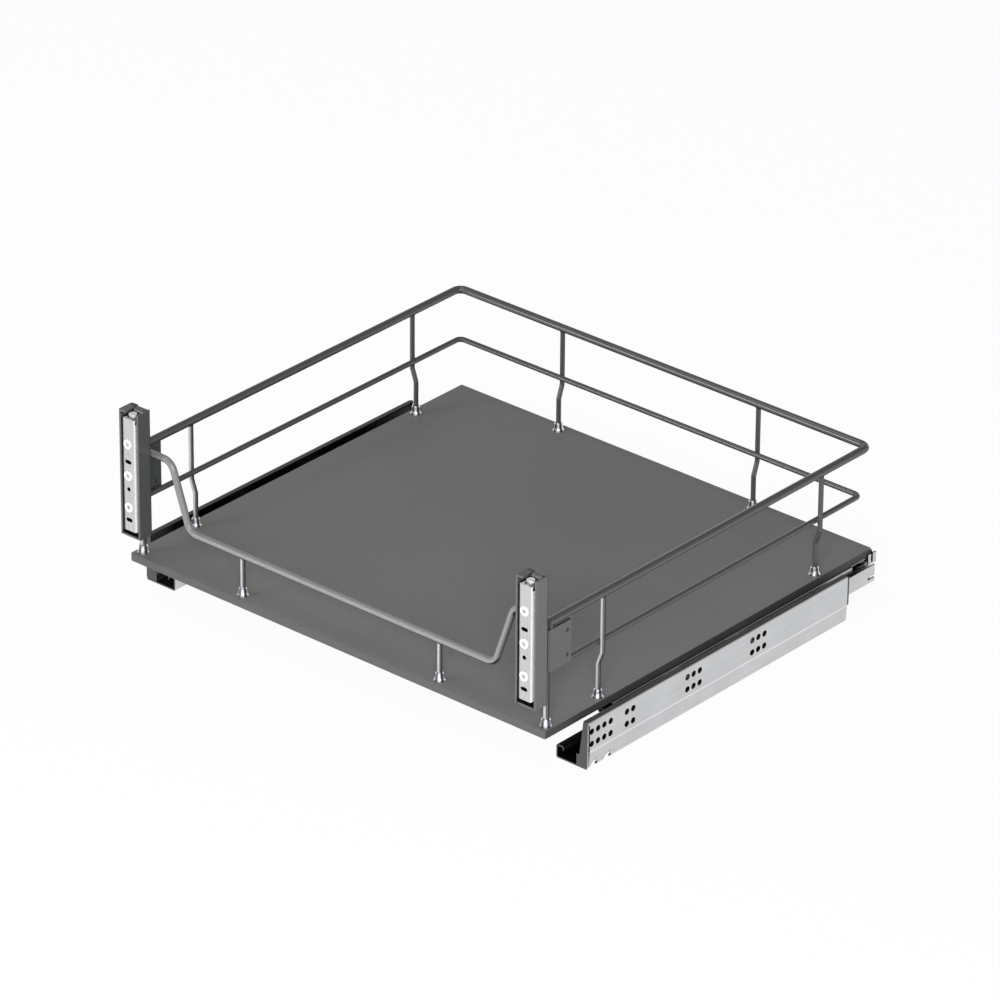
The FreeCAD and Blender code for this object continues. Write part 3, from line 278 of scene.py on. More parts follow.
def powder_coat(name, body, flakes, highlight_tone, share, inside=None, toward=TO_HIGHLIGHT, width=0.90,
                coat=0.6, far_edge=(0.78, 0.93)):
    """Baked powder: body and flake tones, and tone, share, direction and width of a painted
    highlight.

    A tone for the inside makes it the coat of a bracket: its channel takes that tone as painted
    shade, and only its foremost edges get the painted highlight. Faces turned down or to the far
    right get painted shade; far_edge says from which to which slant the far right turns dark.
    """
    material, tree, shader, where, facing = new_material(
        name, IOR=1.5, Metallic=0.1, Coat_Roughness=0.12)
    coarse = add(tree, "ShaderNodeMapping", values={"Scale": per(1.0)}, links={"Vector": where})
    peel = add(tree, "ShaderNodeTexNoise", values={"Scale": 1.0, "Detail": 2.0},
               links={"Vector": coarse.outputs[0]}).outputs["Fac"]
    fine = add(tree, "ShaderNodeMapping", values={"Scale": per(0.4)}, links={"Vector": where})
    flake = add(tree, "ShaderNodeTexNoise", values={"Scale": 1.0, "Detail": 1.0},
                links={"Vector": fine.outputs[0]}).outputs["Fac"]
    speck = add(tree, "ShaderNodeMapRange", values={"From Min": 0.3, "From Max": 0.7},
                links={"Value": flake})
    skin = add(tree, "ShaderNodeMix", {"data_type": "RGBA"}, {6: linear(body), 7: linear(flakes)},
               {0: speck.outputs[0]}).outputs[2]
    # Painted shade: faces turned down or to the far right are darkened, with less clear coat and
    # more roughness.
    below = add(tree, "ShaderNodeVectorMath", {"operation": "DOT_PRODUCT"}, {1: TO_BELOW},
                {0: facing})
    under = add(tree, "ShaderNodeMapRange", {"interpolation_type": "SMOOTHSTEP"},
                {"From Min": 0.12, "From Max": 0.42}, {"Value": below.outputs["Value"]}).outputs[0]
    beyond = add(tree, "ShaderNodeVectorMath", {"operation": "DOT_PRODUCT"}, {1: TO_FAR_RIGHT},
                 {0: facing})
    far = add(tree, "ShaderNodeMapRange", {"interpolation_type": "SMOOTHSTEP"},
              {"From Min": far_edge[0], "From Max": far_edge[1]},
              {"Value": beyond.outputs["Value"]}).outputs[0]
    painted_shade_side = add(tree, "ShaderNodeMath", {"operation": "MAXIMUM"},
               links={0: under, 1: far}).outputs[0]
    skin = add(tree, "ShaderNodeMix", {"data_type": "RGBA"}, {7: linear(PAINTED_SHADE_TONE)},
               {0: painted_shade_side, 6: skin}).outputs[2]
    clear = add(tree, "ShaderNodeMapRange", values={"To Min": coat, "To Max": 0.0},
                links={"Value": painted_shade_side})
    tree.links.new(clear.outputs[0], shader.inputs["Coat Weight"])
    # Painted highlight: a paler band on the faces turned toward the given direction.
    front = add(tree, "ShaderNodeVectorMath", {"operation": "DOT_PRODUCT"}, {1: toward},
                {0: facing})
    band = add(tree, "ShaderNodeMapRange", {"interpolation_type": "SMOOTHSTEP"},
               {"From Min": width, "From Max": 0.985},
               {"Value": front.outputs["Value"]}).outputs[0]
    # Painted shade: the channel of a bracket takes the near-black inside tone; only its foremost
    # edges keep the painted highlight.
    if inside:
        within, foremost = bracket_masks(tree, where)
        skin = add(tree, "ShaderNodeMix", {"data_type": "RGBA"}, {7: linear(inside)},
                   {0: within, 6: skin}).outputs[2]
        band = add(tree, "ShaderNodeMath", {"operation": "MULTIPLY"},
                   links={0: band, 1: foremost}).outputs[0]
    part = add(tree, "ShaderNodeMath", {"operation": "MULTIPLY"}, {1: share}, {0: band})
    tone = add(tree, "ShaderNodeMix", {"data_type": "RGBA"}, {7: linear(highlight_tone)},
               {0: part.outputs[0], 6: skin}).outputs[2]
    tree.links.new(tone, shader.inputs["Base Color"])
    gloss = add(tree, "ShaderNodeMapRange", values={"To Min": 0.30, "To Max": 0.42},
                links={"Value": peel})
    rough = add(tree, "ShaderNodeMath", {"operation": "MULTIPLY_ADD"}, {1: 0.5},
                {0: painted_shade_side, 2: gloss.outputs[0]})
    tree.links.new(rough.outputs[0], shader.inputs["Roughness"])
    raised = add(tree, "ShaderNodeBump", values={"Strength": 0.6, "Distance": 0.03 * MM},
                 links={"Height": peel})
    tree.links.new(raised.outputs["Normal"], shader.inputs["Normal"])
    return material


# These coats are one anthracite powder. Their body tones differ as painted light: the front rail is
# drawn much lighter and the posts a little lighter, as if lit from the front, and the rivets near
# black as painted shade.
powder = powder_coat("Powder_coat_baked_anthracite", "#3a3c3d", "#464849", "#6a6c6d", 0.3)
powder_post = powder_coat("Powder_coat_posts_painted_highlight", "#4a4c4d", "#565859", "#c6c9cc", 0.8,
                          width=0.80, far_edge=(0.45, 0.80))
powder_rail = powder_coat("Powder_coat_front_rail_painted_highlight", "#747574", "#808180", "#8e8f8e", 0.8,
                          toward=(0.0, -0.995, -0.10), width=0.94, coat=0.2)
# Painted shade: the channels of the brackets take the near-black inside tone.
powder_sheet = powder_coat("Powder_coat_folded_sheet", "#444647", "#4e5051", "#585a5b", 0.8,
                           "#0f1011")
powder_rivet = powder_coat("Powder_coat_rivets_painted_shade", "#1c1d1e", "#2a2b2c", "#3c3d3e", 0.3)
print("made", powder.name, powder_post.name, powder_rail.name, powder_sheet.name,
      powder_rivet.name)

# %% [markdown]
# ## Zinc plate on the slide profiles
# The slide profiles are rolled from strip and zinc plated. Rolling leaves faint lines along the
# strip, some tenths of a millimetre apart, drawn 0.8 mm apart so that they can show. The
# outer walls stay bright. The front and top flanges are painted darker as painted shade, and the
# inside of the channels and the holes is painted darker still as painted shade. A painted
# highlight runs along the fold of the cabinet profile's wall, and the last few millimetres of the
# wall's rear end are painted near black as painted shade.

# %% Where the zinc stays bright and where shade is painted
RAIL_LOW, RAIL_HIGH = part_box("right_cabinet_profile")
INBOARD_FACE, SLIDE_FRONT, SLIDE_TOP = RAIL_LOW.x, RAIL_LOW.y, RAIL_HIGH.z
CHANNEL_WIDTH, WALL_DEPTH, FACE_DEPTH, TOP_DEPTH = 14.0 * MM, 1.0 * MM, 0.4 * MM, 0.8 * MM
# Where the fold's painted highlight runs, and from where the rear end of the wall gets painted
# shade.
FOLD_HEIGHT, LINE_REACH = RAIL_LOW.z + 18.5 * MM, 0.9 * MM
END_SHADE_START = RAIL_HIGH.y - 3.4 * MM
STEEP = 0.5
print("slide from", round(INBOARD_FACE, 4), "front", round(SLIDE_FRONT, 4), "top",
      round(SLIDE_TOP, 4))


# %% Masks of a slide's faces
def slide_masks(tree, where, facing):
    """Masks of a slide: bright faces, flanges and inside for painted shade, the fold's painted
    highlight and the rear end's painted shade.

    Formula: outward is the X of the normal times the sign of X, so one rule serves both slides.
    Bright faces look outward beyond the channel, or inward at the innermost wall. The shaded
    flanges look to the front at the front end, or up at the top. The painted highlight fades with
    the distance from the fold.
    """
    spot = add(tree, "ShaderNodeSeparateXYZ", links={0: where})
    turn = add(tree, "ShaderNodeSeparateXYZ", links={0: facing})
    sign = add(tree, "ShaderNodeMath", {"operation": "SIGN"},
               links={0: spot.outputs["X"]}).outputs[0]
    reach = add(tree, "ShaderNodeMath", {"operation": "ABSOLUTE"},
                links={0: spot.outputs["X"]}).outputs[0]
    outward = add(tree, "ShaderNodeMath", {"operation": "MULTIPLY"},
                  links={0: turn.outputs["X"], 1: sign}).outputs[0]
    faces_out = add(tree, "ShaderNodeMath", {"operation": "GREATER_THAN"}, {1: STEEP},
                    {0: outward}).outputs[0]
    far_out = add(tree, "ShaderNodeMath", {"operation": "GREATER_THAN"},
                  {1: INBOARD_FACE + CHANNEL_WIDTH}, {0: reach}).outputs[0]
    outside = add(tree, "ShaderNodeMath", {"operation": "MULTIPLY"},
                  links={0: faces_out, 1: far_out}).outputs[0]
    faces_in = add(tree, "ShaderNodeMath", {"operation": "LESS_THAN"}, {1: -STEEP},
                   {0: outward}).outputs[0]
    near_in = add(tree, "ShaderNodeMath", {"operation": "LESS_THAN"},
                  {1: INBOARD_FACE + FACE_DEPTH}, {0: reach}).outputs[0]
    inside = add(tree, "ShaderNodeMath", {"operation": "MULTIPLY"},
                 links={0: faces_in, 1: near_in}).outputs[0]
    bright_faces = add(tree, "ShaderNodeMath", {"operation": "MAXIMUM"},
                links={0: outside, 1: inside}).outputs[0]
    faces_front = add(tree, "ShaderNodeMath", {"operation": "LESS_THAN"}, {1: -STEEP},
                      {0: turn.outputs["Y"]}).outputs[0]
    at_front = add(tree, "ShaderNodeMath", {"operation": "LESS_THAN"},
                   {1: SLIDE_FRONT + FACE_DEPTH}, {0: spot.outputs["Y"]}).outputs[0]
    flange = add(tree, "ShaderNodeMath", {"operation": "MULTIPLY"},
                 links={0: faces_front, 1: at_front}).outputs[0]
    faces_up = add(tree, "ShaderNodeMath", {"operation": "GREATER_THAN"}, {1: STEEP},
                   {0: turn.outputs["Z"]}).outputs[0]
    at_top = add(tree, "ShaderNodeMath", {"operation": "GREATER_THAN"}, {1: SLIDE_TOP - TOP_DEPTH},
                 {0: spot.outputs["Z"]}).outputs[0]
    top = add(tree, "ShaderNodeMath", {"operation": "MULTIPLY"},
              links={0: faces_up, 1: at_top}).outputs[0]
    shaded_flanges = add(tree, "ShaderNodeMath", {"operation": "MAXIMUM"},
               links={0: flange, 1: top}).outputs[0]
    above = add(tree, "ShaderNodeMath", {"operation": "SUBTRACT"}, {1: FOLD_HEIGHT},
                {0: spot.outputs["Z"]}).outputs[0]
    away = add(tree, "ShaderNodeMath", {"operation": "ABSOLUTE"}, links={0: above}).outputs[0]
    line = add(tree, "ShaderNodeMapRange",
               values={"From Max": LINE_REACH, "To Min": 1.0, "To Max": 0.0},
               links={"Value": away}).outputs[0]
    outermost = add(tree, "ShaderNodeMath", {"operation": "GREATER_THAN"},
                    {1: RAIL_HIGH.x - WALL_DEPTH}, {0: reach}).outputs[0]
    line = add(tree, "ShaderNodeMath", {"operation": "MULTIPLY"},
               links={0: line, 1: outermost}).outputs[0]
    line = add(tree, "ShaderNodeMath", {"operation": "MULTIPLY"},
               links={0: line, 1: bright_faces}).outputs[0]
    behind = add(tree, "ShaderNodeMath", {"operation": "GREATER_THAN"}, {1: END_SHADE_START},
                 {0: spot.outputs["Y"]}).outputs[0]
    end_shade = add(tree, "ShaderNodeMath", {"operation": "MULTIPLY"},
                 links={0: behind, 1: outermost}).outputs[0]
    return bright_faces, shaded_flanges, line, end_shade


print("line at", round(FOLD_HEIGHT, 4), "dipped from", round(END_SHADE_START, 4))


# %% Zinc plate for the slides
def strip_plate(name):
    """Rolled and plated strip: bright outside, painted shade on the flanges, darker painted shade
    inside.
    """
    material, tree, shader, where, facing = new_material(name, Metallic=1.0)
    rolled = add(tree, "ShaderNodeMapping", values={"Scale": per(0.8, 90.0, 0.8)},
                 links={"Vector": where})
    lines = add(tree, "ShaderNodeTexNoise", values={"Scale": 1.0, "Detail": 3.0, "Roughness": 0.6},
                links={"Vector": rolled.outputs[0]}).outputs["Fac"]
    wide = add(tree, "ShaderNodeMapping", values={"Scale": per(26.0)}, links={"Vector": where})
    patch = add(tree, "ShaderNodeTexNoise", values={"Scale": 1.0, "Detail": 3.0},
                links={"Vector": wide.outputs[0]}).outputs["Fac"]
    rest = add(tree, "ShaderNodeMath", {"operation": "MULTIPLY"}, {1: 0.4}, {0: patch}).outputs[0]
    both = add(tree, "ShaderNodeMath", {"operation": "MULTIPLY_ADD"}, {1: 0.6},
               {0: lines, 2: rest}).outputs[0]
    mottle = add(tree, "ShaderNodeMapRange", values={"From Min": 0.35, "From Max": 0.65},
                 links={"Value": both}).outputs[0]
    bright = add(tree, "ShaderNodeMix", {"data_type": "RGBA"},
                 {6: linear("#c0c1c3"), 7: linear("#d0d1d3")}, {0: mottle}).outputs[2]
    bright_faces, shaded_flanges, line, end_shade = slide_masks(tree, where, facing)
    # Painted shade: the flanges take a mid grey and the rest of the inside a dark grey instead of
    # the bright zinc.
    shaded_tone = add(tree, "ShaderNodeMix", {"data_type": "RGBA"},
                  {6: linear("#3c3d40"), 7: linear("#5e5f61")}, {0: shaded_flanges}).outputs[2]
    plated = add(tree, "ShaderNodeMix", {"data_type": "RGBA"},
                 links={0: bright_faces, 6: shaded_tone, 7: bright}).outputs[2]
    # Painted highlight along the fold, then painted shade, near black, at the wall's rear end.
    tone = add(tree, "ShaderNodeMix", {"data_type": "RGBA"}, {7: linear("#f4f4f5")},
               {0: line, 6: plated}).outputs[2]
    tone = add(tree, "ShaderNodeMix", {"data_type": "RGBA"}, {7: linear("#0e0f10")},
               {0: end_shade, 6: tone}).outputs[2]
    tree.links.new(tone, shader.inputs["Base Color"])
    gloss = add(tree, "ShaderNodeMapRange", values={"To Min": 0.34, "To Max": 0.44},
                links={"Value": patch})
    tree.links.new(gloss.outputs[0], shader.inputs["Roughness"])
    raised = add(tree, "ShaderNodeBump", values={"Strength": 0.4, "Distance": 0.006 * MM},
                 links={"Height": lines})
    tree.links.new(raised.outputs["Normal"], shader.inputs["Normal"])
    return material


strip_zinc = strip_plate("Zinc_plate_rolled_strip")
print("made", strip_zinc.name)

# %% [markdown]
# ## Zinc plate on sheet and screws
# The fixing plates are pressed from sheet and plated after pressing. Their folded borders, which
# face aside or up, are painted nearly white and less metallic as a painted highlight. The walls of
# the pierced holes are painted near black as painted shade. Screws, nuts and pins are turned and
# plated, a little darker and glossier. The heads of the height screws are drawn paler and less
# metallic where they face aside or up.

# %% Where the holes of a fixing plate are
PLATE_LOW, PLATE_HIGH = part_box("right_fixing_plate")
TWIN_LOW, TWIN_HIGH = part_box("left_fixing_plate")
PLATE_SHIFT = (PLATE_LOW.x + PLATE_HIGH.x + TWIN_LOW.x + TWIN_HIGH.x) / 4
PLATE_MIDDLE = (PLATE_LOW.x + PLATE_HIGH.x) / 2 - PLATE_SHIFT
PLATE_LEVEL = (PLATE_LOW.z + PLATE_HIGH.z) / 2
HOLE_REACH, HOLE_ASIDE = PLATE_LEVEL - PLATE_LOW.z - 3.0 * MM, 6.8 * MM


def hole_mask(tree, where):
    """Mask of the strip in a fixing plate that has the holes.

    Formula: the place lies within the reach of the holes up and down, and beside the middle of a
    plate. The plates mirror each other about a plane that is PLATE_SHIFT off the middle.
    """
    spot = add(tree, "ShaderNodeSeparateXYZ", links={0: where})
    moved = add(tree, "ShaderNodeMath", {"operation": "SUBTRACT"}, {1: PLATE_SHIFT},
                {0: spot.outputs["X"]}).outputs[0]
    reach = add(tree, "ShaderNodeMath", {"operation": "ABSOLUTE"}, links={0: moved}).outputs[0]
    near = add(tree, "ShaderNodeMath", {"operation": "COMPARE"}, {1: PLATE_MIDDLE, 2: HOLE_ASIDE},
               {0: reach}).outputs[0]
    level = add(tree, "ShaderNodeMath", {"operation": "COMPARE"}, {1: PLATE_LEVEL, 2: HOLE_REACH},
                {0: spot.outputs["Z"]}).outputs[0]
    return add(tree, "ShaderNodeMath", {"operation": "MULTIPLY"},
               links={0: near, 1: level}).outputs[0]


print("plate", round(PLATE_MIDDLE, 4), "holes within", round(HOLE_REACH, 4), "of",
      round(PLATE_LEVEL, 4))


# %% Zinc plate for sheet and screws
def sheet_plate(name, dark, light, border, metal, border_metal, rough, pierced=False):
    """Plated sheet or turned steel: two close tones, and a third where it faces aside or up, which
    on the fixing plates is a nearly white painted highlight.

    In a pierced sheet the walls of its holes are painted near black as painted shade.
    """
    material, tree, shader, where, facing = new_material(name)
    rolled = add(tree, "ShaderNodeMapping", values={"Scale": per(0.8, 0.8, 60.0)},
                 links={"Vector": where})
    lines = add(tree, "ShaderNodeTexNoise", values={"Scale": 1.0, "Detail": 3.0, "Roughness": 0.6},
                links={"Vector": rolled.outputs[0]}).outputs["Fac"]
    mottle = add(tree, "ShaderNodeMapRange", values={"From Min": 0.35, "From Max": 0.65},
                 links={"Value": lines})
    plated = add(tree, "ShaderNodeMix", {"data_type": "RGBA"}, {6: linear(dark), 7: linear(light)},
                 {0: mottle.outputs[0]}).outputs[2]
    turn = add(tree, "ShaderNodeSeparateXYZ", links={0: facing})
    flat = add(tree, "ShaderNodeMath", {"operation": "ABSOLUTE"}, links={0: turn.outputs["Y"]})
    edge = add(tree, "ShaderNodeMapRange", values={"From Min": 0.95, "From Max": 0.6},
               links={"Value": flat.outputs[0]})
    # On the fixing plates this tone is a painted highlight.
    tone = add(tree, "ShaderNodeMix", {"data_type": "RGBA"}, {7: linear(border)},
               {0: edge.outputs[0], 6: plated}).outputs[2]
    if pierced:
        # Painted shade: the walls of the holes turn near black.
        hole = hole_mask(tree, where)
        hole = add(tree, "ShaderNodeMath", {"operation": "MULTIPLY"},
                   links={0: hole, 1: edge.outputs[0]}).outputs[0]
        tone = add(tree, "ShaderNodeMix", {"data_type": "RGBA"}, {7: linear("#0c0c0d")},
                   {0: hole, 6: tone}).outputs[2]
    haze = add(tree, "ShaderNodeMapRange", values={"To Min": metal, "To Max": border_metal},
               links={"Value": edge.outputs[0]})
    tree.links.new(haze.outputs[0], shader.inputs["Metallic"])
    tree.links.new(tone, shader.inputs["Base Color"])
    gloss = add(tree, "ShaderNodeMapRange",
                values={"To Min": rough - 0.05, "To Max": rough + 0.05}, links={"Value": lines})
    tree.links.new(gloss.outputs[0], shader.inputs["Roughness"])
    raised = add(tree, "ShaderNodeBump", values={"Strength": 0.4, "Distance": 0.006 * MM},
                 links={"Height": lines})
    tree.links.new(raised.outputs["Normal"], shader.inputs["Normal"])
    return material


# Fixing plates: the nearly white, less metallic border is a painted highlight.
plate_zinc = sheet_plate("Zinc_plate_pressed_sheet", "#babbbd", "#c8c9cb", "#f4f4f5", 0.7, 0.0,
                         0.38, True)
screw_zinc = sheet_plate("Zinc_plate_turned_steel", "#b4b6b9", "#c8cacd", "#c0c2c5", 1.0, 0.9,
                         0.26)
head_zinc = sheet_plate("Zinc_plate_tumbled_heads", "#b4b6b9", "#c8cacd", "#f0f0f1", 1.0, 0.1,
                        0.32)
print("made", plate_zinc.name, screw_zinc.name, head_zinc.name)

# %% [markdown]
# ## Chrome plate
# The bell collars over the feet are turned, polished and chromed. Round the bell, the tone swings
# five times between dark and white in upright bands, a painted reflection.

# %% Chrome material
# Painted reflection: upright light and dark bands set by the heading of the normal.
REFLECTION_BANDS = 5.0
chrome, tree, shader, where, facing = new_material("Chrome_plate_polished", Metallic=0.7)
turn = add(tree, "ShaderNodeSeparateXYZ", links={0: facing})
heading = add(tree, "ShaderNodeMath", {"operation": "ARCTAN2"},
              links={0: turn.outputs["Y"], 1: turn.outputs["X"]})
waves = add(tree, "ShaderNodeMath", {"operation": "MULTIPLY"}, {1: REFLECTION_BANDS},
            {0: heading.outputs[0]})
reflection_band = add(tree, "ShaderNodeMath", {"operation": "SINE"}, links={0: waves.outputs[0]})
level = add(tree, "ShaderNodeMapRange", values={"From Min": -0.6, "From Max": 0.6},
            links={"Value": reflection_band.outputs[0]})
tone = add(tree, "ShaderNodeMix", {"data_type": "RGBA"},
           {6: linear("#50555e"), 7: linear("#f4f5f8")}, {0: level.outputs[0]}).outputs[2]
tree.links.new(tone, shader.inputs["Base Color"])
rings = add(tree, "ShaderNodeMapping", values={"Scale": per(2.5)}, links={"Vector": where})
haze = add(tree, "ShaderNodeTexNoise", values={"Scale": 1.0, "Detail": 2.0},
           links={"Vector": rings.outputs[0]})
gloss = add(tree, "ShaderNodeMapRange", values={"To Min": 0.08, "To Max": 0.18},
            links={"Value": haze.outputs["Fac"]})
tree.links.new(gloss.outputs[0], shader.inputs["Roughness"])
print("made", chrome.name)

# %% [markdown]
# ## Moulded plastics and rubber
# Collars, roller cages and rollers are moulded nylon, a little see-through and waxy. Housings
# and levers are moulded with a spark-eroded grain of about 0.3 mm, drawn at 0.7 mm.
# The stop buffers are matt rubber.


# %% Plastic materials
def moulded(name, dark, light, rough, grain_mm, depth_mm, wax=0.0):
    """Moulded plastic: two close tones, an eroded grain, and how waxy it is from 0 to 1."""
    material, tree, shader, where, facing = new_material(
        name, IOR=1.5, Subsurface_Weight=wax, Subsurface_Scale=0.002)
    eroded = add(tree, "ShaderNodeMapping", values={"Scale": per(grain_mm)},
                 links={"Vector": where})
    grain = add(tree, "ShaderNodeTexNoise", values={"Scale": 1.0, "Detail": 3.0},
                links={"Vector": eroded.outputs[0]}).outputs["Fac"]
    wide = add(tree, "ShaderNodeMapping", values={"Scale": per(9.0)}, links={"Vector": where})
    flow = add(tree, "ShaderNodeTexNoise", values={"Scale": 1.0, "Detail": 1.0},
               links={"Vector": wide.outputs[0]}).outputs["Fac"]
    share = add(tree, "ShaderNodeMapRange", values={"From Min": 0.3, "From Max": 0.7},
                links={"Value": flow})
    tone = add(tree, "ShaderNodeMix", {"data_type": "RGBA"}, {6: linear(dark), 7: linear(light)},
               {0: share.outputs[0]}).outputs[2]
    tree.links.new(tone, shader.inputs["Base Color"])
    gloss = add(tree, "ShaderNodeMapRange",
                values={"To Min": rough - 0.06, "To Max": rough + 0.08}, links={"Value": grain})
    tree.links.new(gloss.outputs[0], shader.inputs["Roughness"])
    raised = add(tree, "ShaderNodeBump", values={"Strength": 0.6, "Distance": depth_mm * MM},
                 links={"Height": grain})
    tree.links.new(raised.outputs["Normal"], shader.inputs["Normal"])
    return material


white_nylon = moulded("Nylon_moulded_white", "#f2f2f0", "#fafaf9", 0.38, 0.8, 0.01, 0.15)
natural_nylon = moulded("Nylon_moulded_natural", "#dcd9cf", "#e9e6dc", 0.42, 0.8, 0.01, 0.2)
grey_abs = moulded("ABS_moulded_grey", "#474849", "#515253", 0.50, 0.7, 0.03)
black_pom = moulded("POM_moulded_black", "#161616", "#1d1d1d", 0.44, 0.7, 0.03)
rubber = moulded("Rubber_moulded_black", "#191919", "#222222", 0.75, 0.5, 0.04)
print("made", white_nylon.name, natural_nylon.name, grey_abs.name, black_pom.name, rubber.name)

# %% [markdown]
# ## Dressing the CAD nodes
# Every node keeps its shape and gets the finish of its material slot in the record. The fixing
# plates are pressed sheet, the wires and brackets at the front take the coats with the painted
# highlight, and the rivets take the coat painted near black as shade.

# %% Assign materials
FINISH = {
    "board": melamine, "powder_coated_steel": powder, "zinc_plated_steel": strip_zinc,
    "bright_steel": screw_zinc, "chrome_plate": chrome, "white_nylon": white_nylon,
    "natural_nylon": natural_nylon, "grey_plastic": grey_abs, "dark_plastic": black_pom,
    "rubber_stop": rubber,
}
OWN_FINISH = {
    "left_fixing_plate": plate_zinc, "right_fixing_plate": plate_zinc,
    "left_height_screw": head_zinc, "right_height_screw": head_zinc,
    "front_rail": powder_rail, "front_left_post": powder_post, "front_right_post": powder_post,
    "right_front_post": powder_post, "left_front_post": powder_post,
    "left_bracket_post": powder_post, "right_bracket_post": powder_post,
    "left_bracket": powder_sheet, "right_bracket": powder_sheet, "plate_rivets": powder_rivet,
}
SLOT_OF = {part["node"]: part["material_slot"] for part in frame["record"]["subparts"]}


def finish_with(piece, material):
    """Puts one material into all material slots of a piece."""
    if not piece.material_slots:
        piece.data.materials.append(material)
    for entry in piece.material_slots:
        entry.link = "OBJECT"
        entry.material = material


for name, node in NODES.items():
    finish_with(node, OWN_FINISH.get(name, FINISH[SLOT_OF[name]]))
print("dressed", len(NODES), "nodes")

# %% [markdown]
# ## Making surfaces from arrays
# New pieces are grids of points. One function takes such grids, joins neighbours into
# four-sided faces, closes each row round, and gives an object that rides on a body.
# Points that coincide are joined, so that a row drawn together to a pole closes the form there.


# %% Grid to mesh
def grid_faces(rows, columns, start):
    """Four corners of each cell of a grid, as an array.

    Formula: cell (i, j) joins point i * columns + j, the next one along the row and the two above
    them, with j + 1 taken modulo columns, because each row closes on itself.
    """
    i, j = np.meshgrid(np.arange(rows - 1), np.arange(columns), indexing="ij")
    k = (j + 1) % columns
    corners = np.stack([i * columns + j, i * columns + k, (i + 1) * columns + k,
                        (i + 1) * columns + j], -1)
    return corners.reshape(-1, 4) + start


JOIN_REACH = 0.0005 * MM


def surface_piece(name, grids, material, body):
    """One object from a list of closed point grids in metres, shaded smooth."""
    points, faces, start = [], [], 0
    for grid in grids:
        rows, columns = grid.shape[:2]
        points.append(grid.reshape(-1, 3))
        faces.append(grid_faces(rows, columns, start))
        start += rows * columns
    points, faces = np.concatenate(points), np.concatenate(faces)
    mesh = bpy.data.meshes.new(name)
    mesh.from_pydata(points.tolist(), [], faces.tolist())
    solid = bmesh.new()
    solid.from_mesh(mesh)
    bmesh.ops.remove_doubles(solid, verts=solid.verts, dist=JOIN_REACH)
    bmesh.ops.recalc_face_normals(solid, faces=solid.faces)
    solid.to_mesh(mesh)
    solid.free()
    mesh.polygons.foreach_set("use_smooth", np.ones(len(mesh.polygons), bool))
    mesh.update()
    piece = bpy.data.objects.new(name, mesh)
    bpy.context.scene.collection.objects.link(piece)
    finish_with(piece, material)
    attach(piece, body)
    print(name, len(mesh.vertices), "points", len(mesh.polygons), "faces")
    return piece


# %% [markdown]
# ## Weld fillets under the rails
# Each post is welded to the rail above it. Melted metal fills the corner all round with a small
# concave fillet, which the powder coat then covers. A fillet like this is a ring of short curves:
# each starts on the post, bends at the line where both tubes meet, and ends on the rail.
# Such a curve with three control points is exact enough and needs no boolean.

# %% Weld fillets
AROUND = np.linspace(0.0, 2.0 * np.pi, 48, endpoint=False)
ACROSS = np.linspace(0.0, 1.0, 7)
RIPPLE_SHARE, RIPPLE_COUNT = 0.12, 14.0
WIDEST_SHARE, MAX_SINK = 0.97, 0.15


def tee_fillet(foot, post_radius, rail_radius, rail_along, leg):
    """Fillet where an upright post meets a level rail above it.

    Formula: the meeting line has height h(u) = zc - sqrt(R^2 - d^2), where d is the distance of
    the post's surface point from the rail's axis plane. Each section is a quadratic curve
    (1-t)^2 A + 2t(1-t) B + t^2 C with A on the post, B on the meeting line and C on the rail.
    A ripple of the leg's length round the post is the bead that the welder leaves.
    """
    x, y, axis_height = foot
    u, t = AROUND[None, :], ACROSS[:, None]
    c, s = np.cos(u), np.sin(u)
    side = s if rail_along == X else c
    ripple = 1.0 + RIPPLE_SHARE * np.cos(RIPPLE_COUNT * u)
    # The limit keeps the curve off the rail's widest line.
    limit = WIDEST_SHARE * rail_radius

    def on_rail(radius):
        d = np.clip(radius * side, -limit, limit)
        return axis_height - np.sqrt(rail_radius ** 2 - d ** 2)

    low = on_rail(post_radius) - leg * ripple
    high = on_rail(post_radius + leg * ripple)
    mid = on_rail(post_radius)
    r = (1 - t ** 2) * post_radius + t ** 2 * (post_radius + leg * ripple)
    z = (1 - t) ** 2 * low + 2 * t * (1 - t) * mid + t ** 2 * high
    d = r * side
    reach = np.sqrt(np.maximum(rail_radius ** 2 - np.clip(d, -limit, limit) ** 2, 0.0))
    z = np.minimum(z, axis_height - reach + MAX_SINK)
    # A last ring inside the post, and the first ring again, close the strip within the metal.
    r = np.concatenate([r, 0.5 * post_radius + 0.0 * u, r[:1]])
    z = np.concatenate([z, 0.5 * (z[:1] + z[-1:]), z[:1]])
    return place(np.stack([x + r * c, y + r * s, z], -1))


